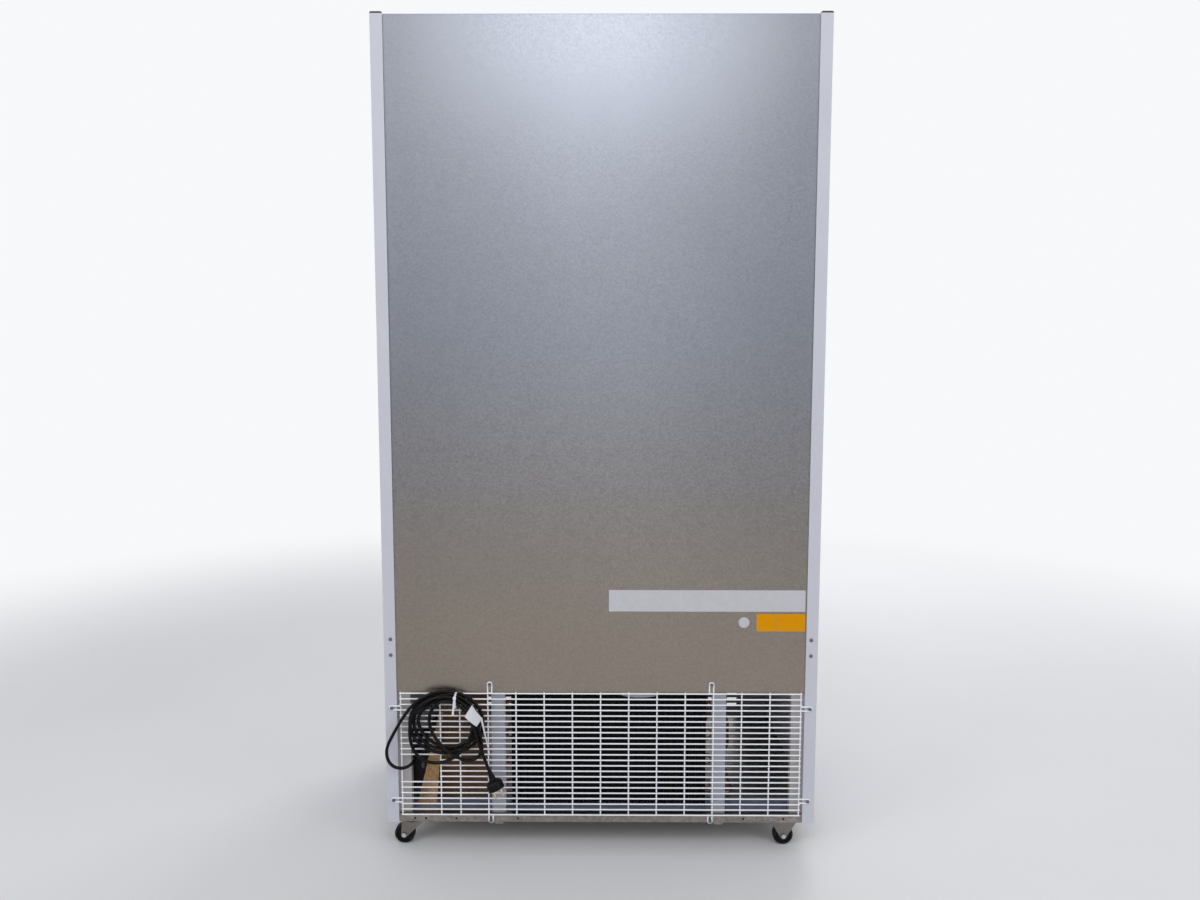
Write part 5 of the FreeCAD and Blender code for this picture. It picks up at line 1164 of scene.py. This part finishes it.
@dataclass
class Stickers:
    """Blank stickers on the back: a long white strip, an amber plate in two parts and a spot."""

    face: float = 0.34995
    thickness: float = 0.00018
    strip: tuple[float, float, float, float] = (-0.4930, -0.0200, 0.6062, 0.6588)
    strip_corner: float = 0.0008
    amber: tuple[float, float, float, float] = (-0.4932, -0.3766, 0.5577, 0.6003)
    amber_corner: float = 0.0022
    margin: float = 0.0012
    divider: float = -0.4240
    half_gap: float = 0.0002
    spot: tuple[float, float, float] = (-0.3460, 0.5795, 0.0130)
    spot_edge: float = 0.0002
    spot_sides: int = 64
    spot_dish: float = 0.7
    crease: float = 5.0

    def sheet(self, name: str, box: tuple[float, float, float, float],
              corner: float) -> bpy.types.Object:
        """Thin oblong sheet with rounded corners against the back panel.

        Args:
            name: The piece's name.
            box: Lowest and highest X, then lowest and highest Z, in metres.
            corner: Radius of its corners.

        Returns:
            The sheet.
        """
        left, right, low, high = box
        deselect()
        bpy.ops.mesh.primitive_plane_add(
            size=1, location=((left + right) / 2, self.face, (low + high) / 2),
            rotation=(-QUARTER_TURN, 0, 0))
        piece = bpy.context.object
        piece.scale = (right - left, high - low, 1)
        place_in_mesh()
        edit(piece, "VERT")
        select_whole()
        bpy.ops.mesh.bevel(offset=corner, segments=4, affect="VERTICES")
        select_whole()
        bpy.ops.mesh.extrude_region_move(TRANSFORM_OT_translate={"value": (0, self.thickness, 0)})
        turn_outwards()
        leave_edit()
        return settle(piece, name, self.crease)

    def plate(self) -> bpy.types.Object:
        """Amber sticker: a square part and a long part, each with a fine margin.

        Returns:
            The sticker as one piece.
        """
        left, right, low, high = self.amber
        parts = []
        for start, end in ((left, self.divider - self.half_gap),
                           (self.divider + self.half_gap, right)):
            part = self.sheet("amber_part", (start, end, low, high), self.amber_corner)
            edit(part)
            choose(part, lambda face: face.normal.y > 0.9)
            bpy.ops.mesh.inset(thickness=self.margin, depth=0.0)
            leave_edit()
            parts.append(part)
        return settle(joined(parts), "amber_sticker", self.crease)

    def round_spot(self) -> bpy.types.Object:
        """Small round sticker with a thin rim.

        Returns:
            The sticker.
        """
        x, z, radius = self.spot
        inner = radius - self.margin
        piece = lathe(self.spot_sides, (
            (radius, 0.0), (radius, self.thickness), (inner, self.thickness),
            (inner - self.spot_edge, self.thickness * self.spot_dish)))
        piece.rotation_euler = (-QUARTER_TURN, 0, 0)
        piece.location = (x, self.face, z)
        return settle(piece, "round_sticker", self.crease)

    def build(self, finish: Finishes) -> list[bpy.types.Object]:
        """Adds the three stickers to the cabinet.

        Args:
            finish: Materials by slot.

        Returns:
            The stickers.
        """
        made = ((self.sheet("strip_sticker", self.strip, self.strip_corner), "sticker_white"),
                (self.plate(), "sticker_amber"), (self.round_spot(), "sticker_white"))
        for piece, name in made:
            dress(piece, finish[name])
            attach(piece, Body.CABINET.value)
        return [piece for piece, _ in made]


@dataclass
class PanelHem:
    """Folded upper hem of the back panel, which brings its edge level with the posts' tops."""

    half_width: float = 0.4955
    low: float = 1.98505
    high: float = 1.9898
    rear: float = 0.34995
    front: float = 0.3418
    fold: float = 0.0012
    fold_steps: int = 4
    nearness: float = 0.0001
    crease: float = 30.0

    def build(self, finish: Finishes) -> bpy.types.Object:
        """Adds the hem to the cabinet.

        Args:
            finish: Materials by slot.

        Returns:
            The hem.
        """
        hem = block((0, (self.rear + self.front) / 2, (self.low + self.high) / 2),
                    (2 * self.half_width, self.rear - self.front, self.high - self.low))
        edit(hem, "EDGE")
        mesh = bmesh.from_edit_mesh(hem.data)
        for rim in mesh.edges:
            rim.select_set(all(vertex.co.z > self.high - self.nearness for vertex in rim.verts))
        bmesh.update_edit_mesh(hem.data)
        bpy.ops.mesh.bevel(offset=self.fold, segments=self.fold_steps, affect="EDGES")
        leave_edit()
        hem = settle(hem, "panel_hem", self.crease)
        dress(hem, finish[Slot.PANEL.value])
        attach(hem, Body.CABINET.value)
        return hem


@dataclass
class CordTie:
    """Cable tie round the top of the coil and the grille's wires, with its toothed loose tail."""

    x: float = 0.3490
    inner: float = 0.35290
    outer: float = 0.39000
    low: float = 0.3725
    top: float = 0.4086
    width: float = 0.0046
    strap: float = 0.0011
    tail: tuple[Pair, ...] = ((0.3917, 0.4040), (0.3934, 0.3970), (0.3944, 0.3860),
                              (0.3950, 0.3750), (0.3962, 0.3640))
    slant: float = math.radians(-6.0)
    tooth_edge: float = 0.0003
    tooth_depth: float = 0.00025
    tooth_area: float = 2e-6
    head: Pair = (0.0050, 0.0078)
    head_out: float = 0.0024
    head_drop: float = 0.004
    head_round: float = 0.0009
    slot_edge: float = 0.0007
    slot_depth: float = 0.0012
    crease: float = 50.0

    def loop(self) -> bpy.types.Object:
        """Strap up the grille's side of the coil, over its top, down its outside and back.

        Returns:
            The strap, drawn flat with its depth along X and its height along Y.
        """
        near, far, low, top = self.inner, self.outer, self.low, self.top
        middle = (near + far) / 2
        path = ((near, low + 0.006), (near, top - 0.006), (near + 0.003, top),
                (middle, top + 0.001), (far - 0.004, top - 0.001), (far, top - 0.007),
                (far - 0.002, low + 0.012), (far - 0.006, low + 0.003), (middle, low),
                (near + 0.003, low + 0.001))
        return ribbon(path, self.width, self.strap, True)

    def toothed_tail(self) -> bpy.types.Object:
        """Loose tail with a row of fine teeth across its outer face.

        Returns:
            The tail, drawn flat as the loop is.
        """
        tail = ribbon(self.tail, self.width, self.strap, False)
        edit(tail)
        choose(tail, lambda face: abs(face.normal.z) < 0.3 and face.calc_area() > self.tooth_area)
        bpy.ops.mesh.subdivide(number_cuts=1)
        choose(tail, lambda face: face.normal.x > 0.6 and face.index % 2 == 0)
        bpy.ops.mesh.inset(thickness=self.tooth_edge, depth=self.tooth_depth, use_individual=True)
        leave_edit()
        return tail

    def lock(self) -> bpy.types.Object:
        """Locking head with the slot that its tail comes out of.

        Returns:
            The head, drawn flat as the loop is.
        """
        head = block((self.outer + self.head_out, self.top - self.head_drop, 0),
                     (*self.head, self.width + self.head_out))
        edit(head)
        select_whole()
        bpy.ops.mesh.bevel(offset=self.head_round, segments=3)
        choose(head, lambda face: face.normal.y < -0.95)
        bpy.ops.mesh.inset(thickness=self.slot_edge, depth=-self.slot_depth)
        leave_edit()
        return head

    def build(self, finish: Finishes) -> bpy.types.Object:
        """Adds the tie in place of its plain one.

        Args:
            finish: Materials by slot.

        Returns:
            The tie.
        """
        tail = self.toothed_tail()
        root = Vector((self.outer, self.top - self.head_drop, 0))
        tail.matrix_world = (Matrix.Translation(root) @ Matrix.Rotation(self.slant, 4, "X")
                             @ Matrix.Translation(-root))
        tie = joined([self.loop(), self.lock(), tail])
        # The drawing's X becomes Y, its Y becomes Z, and the strap's width lies along X.
        upright = Matrix(((0, 0, 1, self.x), (1, 0, 0, 0), (0, 1, 0, 0), (0, 0, 0, 1)))
        tie.matrix_world = upright @ tie.matrix_world
        tie = settle(tie, "cable_tie", self.crease)
        dress(tie, finish[Slot.TIE.value])
        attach(tie, Body.CABINET.value)
        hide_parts("cord_tie")
        return tie


@dataclass
class CordTag:
    """Blank flag label folded round the lead, with the thin strap that hangs from it."""

    corners: tuple[Pair, ...] = ((0.3061, 0.3909), (0.2819, 0.3580), (0.2961, 0.3373),
                                 (0.3243, 0.3623))
    front: float = 0.3975
    sag: float = 0.0042
    bow_middle: float = 0.7
    bow_ends: float = 0.5
    bow_lean: float = 0.35
    thickness: float = 0.00035
    steps: int = 16
    crease: float = 60.0
    strap_path: tuple[Point, ...] = (
        (0.2855, 0.3968, 0.3590), (0.2838, 0.3972, 0.3530), (0.2805, 0.3968, 0.3370),
        (0.2760, 0.3952, 0.3140), (0.2710, 0.3922, 0.2880), (0.2663, 0.3890, 0.2640),
    )
    strap_half: float = 0.0028
    strap_round: float = 0.00025
    strap_taper: float = 0.10
    strap_twist: float = 6.0

    def bow(self, u: float, v: float) -> float:
        """How far the flag stands out at a share of its length and of its width, in metres."""
        ends = self.bow_ends * (v - 0.5) ** 2 * 4
        return self.sag * (math.sin(math.pi * u) * self.bow_middle + ends - self.bow_lean * u)

    def flag(self) -> bpy.types.Object:
        """Quadrilateral flag, curved a little towards the viewer at its free corners.

        Returns:
            The flag.
        """
        deselect()
        bpy.ops.mesh.primitive_grid_add(x_subdivisions=self.steps, y_subdivisions=self.steps,
                                        size=1, location=(0, 0, 0))
        flag = bpy.context.object
        first, second, third, fourth = (Vector((x, 0, z)) for x, z in self.corners)
        for vertex in flag.data.vertices:
            u, v = vertex.co.x + 0.5, vertex.co.y + 0.5
            place = first.lerp(second, u).lerp(fourth.lerp(third, u), v)
            vertex.co = (place.x, self.front + self.bow(u, v), place.z)
        activate(flag)
        thicken(flag, self.thickness, -1.0)
        return flag

    def strap(self) -> bpy.types.Object:
        """Thin strap that hangs from the flag beside the lead, narrower and turned at its end.

        Returns:
            The strap.
        """
        curve = bpy.data.curves.new("tag_strap", "CURVE")
        curve.extrude = self.strap_half
        curve.bevel_depth = self.strap_round
        curve.resolution_u = 6
        line = smooth_line(curve, self.strap_path)
        for index, point in enumerate(line.points):
            point.radius = 1.0 - self.strap_taper * index
            point.tilt = math.radians(self.strap_twist * index)
        return as_mesh(curve)

    def build(self, finish: Finishes) -> bpy.types.Object:
        """Adds the tag and its strap.

        Args:
            finish: Materials by slot.

        Returns:
            The tag.
        """
        tag = settle(joined([self.flag(), self.strap()]), "cord_tag", self.crease)
        dress(tag, finish["tag_paper"])
        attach(tag, Body.CABINET.value)
        return tag


@dataclass
class MainsPlug:
    """Round mains plug: ringed strain relief, ribbed grip and two brass pins."""

    top: Point = (0.2720, 0.37225, 0.2190)
    direction: Point = (-0.40, 0.20, -0.89)
    sides: int = 48
    relief: tuple[Pair, ...] = (
        (0.0049, 0.004), (0.0053, 0.0065), (0.0064, 0.0072), (0.0064, 0.0094), (0.0055, 0.0101),
        (0.0058, 0.0125),
        (0.0071, 0.0132), (0.0071, 0.0154), (0.0062, 0.0161), (0.0066, 0.0184), (0.0080, 0.0191),
        (0.0080, 0.0216),
        (0.0074, 0.0223), (0.0088, 0.0258),
    )
    body: tuple[Pair, ...] = (
        (0.0140, 0.0285), (0.0178, 0.0312), (0.0195, 0.0340), (0.0201, 0.0375), (0.0201, 0.0480),
        (0.0196, 0.0484), (0.0196, 0.0490), (0.0203, 0.0494), (0.0203, 0.0505), (0.0190, 0.0520),
    )
    barrel: Pair = (0.038, 0.047)
    rib_edge: float = 0.0003
    rib_depth: float = 0.0006
    face_from: float = 0.0515
    face_rim: float = 0.0022
    face_edge: float = 0.0004
    face_depth: float = 0.0008
    pin_sides: int = 24
    pin_radius: float = 0.0024
    pin_length: float = 0.019
    pin_root: float = 0.0512
    pin_foot: tuple[Pair, ...] = ((1.25, 0.0), (1.25, 0.0022), (1.0, 0.0026))
    pin_tip: tuple[Pair, ...] = ((1.0, -0.0008), (0.8, 0.0003), (0.45, 0.0008))
    spacing: float = 0.019
    crease: float = 28.0

    def grip(self) -> bpy.types.Object:
        """Relief and body on one axis, with upright grip ribs round the barrel.

        Returns:
            The relief and body as one piece.
        """
        piece = lathe(self.sides, (*self.relief, *self.body))
        edit(piece)
        choose(piece, lambda face: self.on_barrel(face) and self.sector(face) % 2 == 0)
        bpy.ops.mesh.inset(thickness=self.rib_edge, depth=0.0, use_individual=True)
        bpy.ops.transform.shrink_fatten(value=-self.rib_depth)
        choose(piece, self.on_face)
        bpy.ops.mesh.inset(thickness=self.face_rim, depth=0.0)
        bpy.ops.mesh.inset(thickness=self.face_edge, depth=-self.face_depth)
        leave_edit()
        return piece

    def on_barrel(self, face: bmesh.types.BMFace) -> bool:
        """Whether a face is one of the long ones round the barrel."""
        low, high = self.barrel
        return abs(face.normal.z) < 0.3 and low < face.calc_center_median().z < high

    def on_face(self, face: bmesh.types.BMFace) -> bool:
        """Whether a face belongs to the flat end that the pins stand in."""
        return face.normal.z > 0.9 and face.calc_center_median().z > self.face_from

    def sector(self, face: bmesh.types.BMFace) -> int:
        """Number of a face round the axis."""
        middle = face.calc_center_median()
        return int((math.atan2(middle.y, middle.x) / math.tau) * self.sides + self.sides)

    def pin(self, side: int) -> bpy.types.Object:
        """One pin, with a collar at its root and a rounded tip.

        Args:
            side: 1 or -1, the side of the axis that it stands on.

        Returns:
            The pin.
        """
        ends = ((self.pin_root, self.pin_foot), (self.pin_root + self.pin_length, self.pin_tip))
        pin = lathe(self.pin_sides, [(self.pin_radius * share, end + rise)
                                     for end, stations in ends for share, rise in stations])
        pin.location = (side * self.spacing / 2, 0, 0)
        return pin

    def build(self, finish: Finishes) -> bpy.types.Object:
        """Adds the plug in place of its plain one.

        Args:
            finish: Materials by slot.

        Returns:
            The plug.
        """
        grip, pins = self.grip(), [self.pin(1), self.pin(-1)]
        dress(grip, finish[Slot.PLUG.value])
        for pin in pins:
            dress(pin, finish["pin_brass"])
        plug = joined([grip, *pins])
        down = Vector((0, 0, -1))
        aim = down.rotation_difference(Vector(self.direction)).to_matrix().to_4x4()
        plug.matrix_world = (Matrix.Translation(self.top) @ aim
                             @ Matrix.Scale(-1, 4, (0, 0, 1)) @ plug.matrix_world)
        plug = settle(plug, "plug_body", self.crease)
        edit(plug)
        turn_outwards()
        leave_edit()
        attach(plug, Body.CABINET.value)
        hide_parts("mains_plug")
        return plug


@dataclass
class LeadGland:
    """Ringed tapered strain relief where the lead leaves the terminal box."""

    place: Point = (0.455, 0.29525, 0.234)
    sides: int = 40
    crease: float = 30.0
    stations: tuple[Pair, ...] = (
        (0.0069, -0.018), (0.0069, 0.0015), (0.0090, 0.0015), (0.0090, 0.0045), (0.0074, 0.0052),
        (0.0072, 0.0072),
        (0.0083, 0.0080), (0.0081, 0.0102), (0.0067, 0.0110), (0.0065, 0.0128), (0.0076, 0.0136),
        (0.0073, 0.0158),
        (0.0061, 0.0166), (0.0059, 0.0182), (0.0067, 0.0190), (0.0064, 0.0212), (0.0056, 0.0220),
        (0.0052, 0.0240),
    )

    def build(self, finish: Finishes) -> bpy.types.Object:
        """Adds the gland in place of its plain one.

        Args:
            finish: Materials by slot.

        Returns:
            The gland.
        """
        gland = lathe(self.sides, self.stations)
        gland.matrix_world = Matrix.Translation(self.place) @ FACING_REAR
        gland = settle(gland, "lead_gland", self.crease)
        dress(gland, finish[Slot.BOX.value])
        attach(gland, Body.CABINET.value)
        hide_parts("cord_gland")
        return gland


@dataclass
class KnockOut:
    """Oval blanking plug of a spare cable entry in the face of the terminal box."""

    place: Point = (0.447, 0.2964, 0.194)
    half_width: float = 0.0040
    half_height: float = 0.0085
    height: float = 0.0012
    flank: float = 0.5
    rim: Pair = (0.86, 0.62)
    dish: Pair = (0.56, 0.7)
    sides: int = 36
    crease: float = 30.0

    def build(self, finish: Finishes) -> bpy.types.Object:
        """Adds the blanking plug to the cabinet, with a raised rim round a shallow dish.

        Args:
            finish: Materials by slot.

        Returns:
            The blanking plug.
        """
        outer, inner = self.rim
        dish, dish_height = self.dish
        plug = lathe(self.sides, (
            (1.0, 0.0), (1.0, self.height * self.flank), (outer, self.height),
            (inner, self.height), (dish, self.height * dish_height)))
        plug.matrix_world = (Matrix.Translation(self.place) @ FACING_REAR
                             @ Matrix.Diagonal((self.half_width, self.half_height, 1.0, 1.0)))
        plug = settle(plug, "knock_out", self.crease)
        dress(plug, finish["knock_out_grey"])
        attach(plug, Body.CABINET.value)
        return plug


@dataclass
class MainsLead:
    """Mains lead: out of the terminal box, round in a loose coil on the grille, to its plug."""

    radius: float = 0.0040
    exit: Point = (0.455, 0.31925, 0.234)
    entry: tuple[Point, ...] = (
        (455, 314.75, 234), (455, 324, 234), (456.2, 342, 230.6), (462.6, 356.2, 224),
        (474, 366, 219.8), (490, 372.1, 220.2),
        (505.7, 375.2, 228.3), (516.5, 375.6, 243.7), (519.3, 374.4, 262.3), (516.4, 372.1, 278.8),
        (507.5, 369.9, 297.5), (482, 369, 343), (455, 369.3, 380), (425, 370.5, 402),
        (396, 368.5, 411),
    )
    outer_turn: tuple[Point, ...] = (
        (364, 362.5, 411), (328, 361.3, 401), (295, 361.3, 374), (283, 361.3, 332),
        (293, 361.3, 290), (328, 361.3, 262),
        (374, 361.3, 252), (421, 361.3, 262), (456, 361.3, 291), (467, 361.3, 331),
        (454, 361.3, 371), (419, 361.3, 397),
    )
    second_turn: tuple[Point, ...] = (
        (374, 361.3, 403), (337, 361.3, 391), (305, 361.3, 366), (293, 363.7, 332),
        (301, 364.8, 297), (333, 364.8, 272),
        (376, 363.7, 263), (417, 362.5, 272), (446, 361.3, 299), (457, 361.3, 333),
        (446, 362.5, 364), (414, 366, 388),
    )
    third_turn: tuple[Point, ...] = (
        (374, 369.6, 409), (336, 369.6, 400), (305, 370.7, 372), (299, 371.9, 333),
        (308, 373.1, 300), (339, 373.1, 280),
        (377, 370.7, 272), (409, 367.2, 284), (435.5, 363.7, 309), (444.6, 362.5, 335),
        (437.5, 364.8, 359), (413, 368.4, 380),
    )
    low_turn: tuple[Point, ...] = (
        (376, 370.7, 401), (343, 370.7, 392), (316, 371.9, 367), (307, 377.8, 334),
        (314, 381.3, 300), (337, 381.3, 266),
        (368, 373.1, 240), (402, 367.2, 231), (434, 367.2, 238), (456, 369.6, 266),
        (464, 370.7, 303), (460, 370.7, 345),
        (440, 371.9, 377), (409, 376.6, 397),
    )
    inner_turn: tuple[Point, ...] = (
        (376, 379, 406), (342, 379, 396), (313, 380.2, 369), (297, 381.3, 331), (289.5, 380.6, 306),
        (286.5, 379.4, 286.1), (286.5, 377.8, 267.9), (295.6, 376.6, 252.1), (311.4, 376.4, 243.0),
        (329.6, 377.4, 243.0), (344.8, 378.8, 251.8), (373, 380.2, 270), (403, 377.8, 303),
        (417, 374.3, 340),
        (407, 374.3, 375), (378, 379, 396), (345, 383.7, 390), (318, 388.4, 364),
        (304, 389.6, 334), (297, 388.4, 304),
    )
    to_plug: tuple[Point, ...] = (
        (288.5, 379.5, 271), (280.8, 367.8, 238.7), (270.4, 373.05, 215.4),
    )

    def points(self) -> list[Vector]:
        """Puts the lead's stretches in order.

        Returns:
            The control points of the whole lead, in metres.
        """
        route = [*self.entry, *self.outer_turn, *self.second_turn, *self.third_turn,
                 *self.low_turn, *self.inner_turn, *self.to_plug]
        return [Vector(point) * MM for point in route]

    def spline(self, name: str, bevel: float) -> bpy.types.Object:
        """Curve object of one smooth spline through the route.

        Args:
            name: The curve's name.
            bevel: Radius of its round, in metres.

        Returns:
            The curve object.
        """
        curve = bpy.data.curves.new(name, "CURVE")
        curve.resolution_u = 6
        curve.bevel_depth = bevel
        curve.bevel_resolution = 4
        curve.use_fill_caps = True
        smooth_line(curve, self.points())
        return placed(name, curve)

    def length(self) -> float:
        """Measures the lead along its smooth line.

        Returns:
            The length in metres.
        """
        line = self.spline("lead_line", 0.0)
        mesh = bpy.data.meshes.new_from_object(line)
        places = [vertex.co for vertex in mesh.vertices]
        total = sum((b - a).length for a, b in zip(places, places[1:]))
        bpy.data.objects.remove(line)
        bpy.data.meshes.remove(mesh)
        return total

    def build(self, finish: Finishes, *with_pieces: bpy.types.Object) -> bpy.types.Object:
        """Args:
            finish: Materials by slot.
            with_pieces: The pieces that lie on the lead or at its end. Not used.

        Returns:
            The lead's curve object.
        """
        length = self.length()
        lead = self.spline("mains_lead", self.radius)
        dress(lead, finish[Slot.CORD.value])
        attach(lead, Body.CABINET.value)
        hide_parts("mains_cord", "cord_coil")
        log.info("mains lead: %.3f m", length)
        return lead


def dress_nodes(finish: Finishes) -> None:
    """Gives every node of the frame the finish of its slot.

    Args:
        finish: Materials by slot.
    """
    for row in frame["record"]["subparts"]:
        node = frame["nodes"][row["node"]]
        material = finish[row["material_slot"]]
        if not node.material_slots:
            node.data.materials.append(material)
        for slot in node.material_slots:
            slot.material = material
        log.info("dressed %s in %s", node.name, material.name)


def main() -> None:
    """Builds the scene in order and reports each piece."""
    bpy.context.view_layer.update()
    Viewpoint().build()
    Studio().build()
    finish = finishes()
    dress_nodes(finish)
    pieces = [*Stickers().build(finish), PanelHem().build(finish), LeadGland().build(finish),
              KnockOut().build(finish)]
    on_lead = [MainsPlug().build(finish), CordTie().build(finish), CordTag().build(finish)]
    pieces += [*on_lead, MainsLead().build(finish, *on_lead)]
    for piece in pieces:
        log.info("built %s", piece.name)


if __name__ == "__main__":
    main()
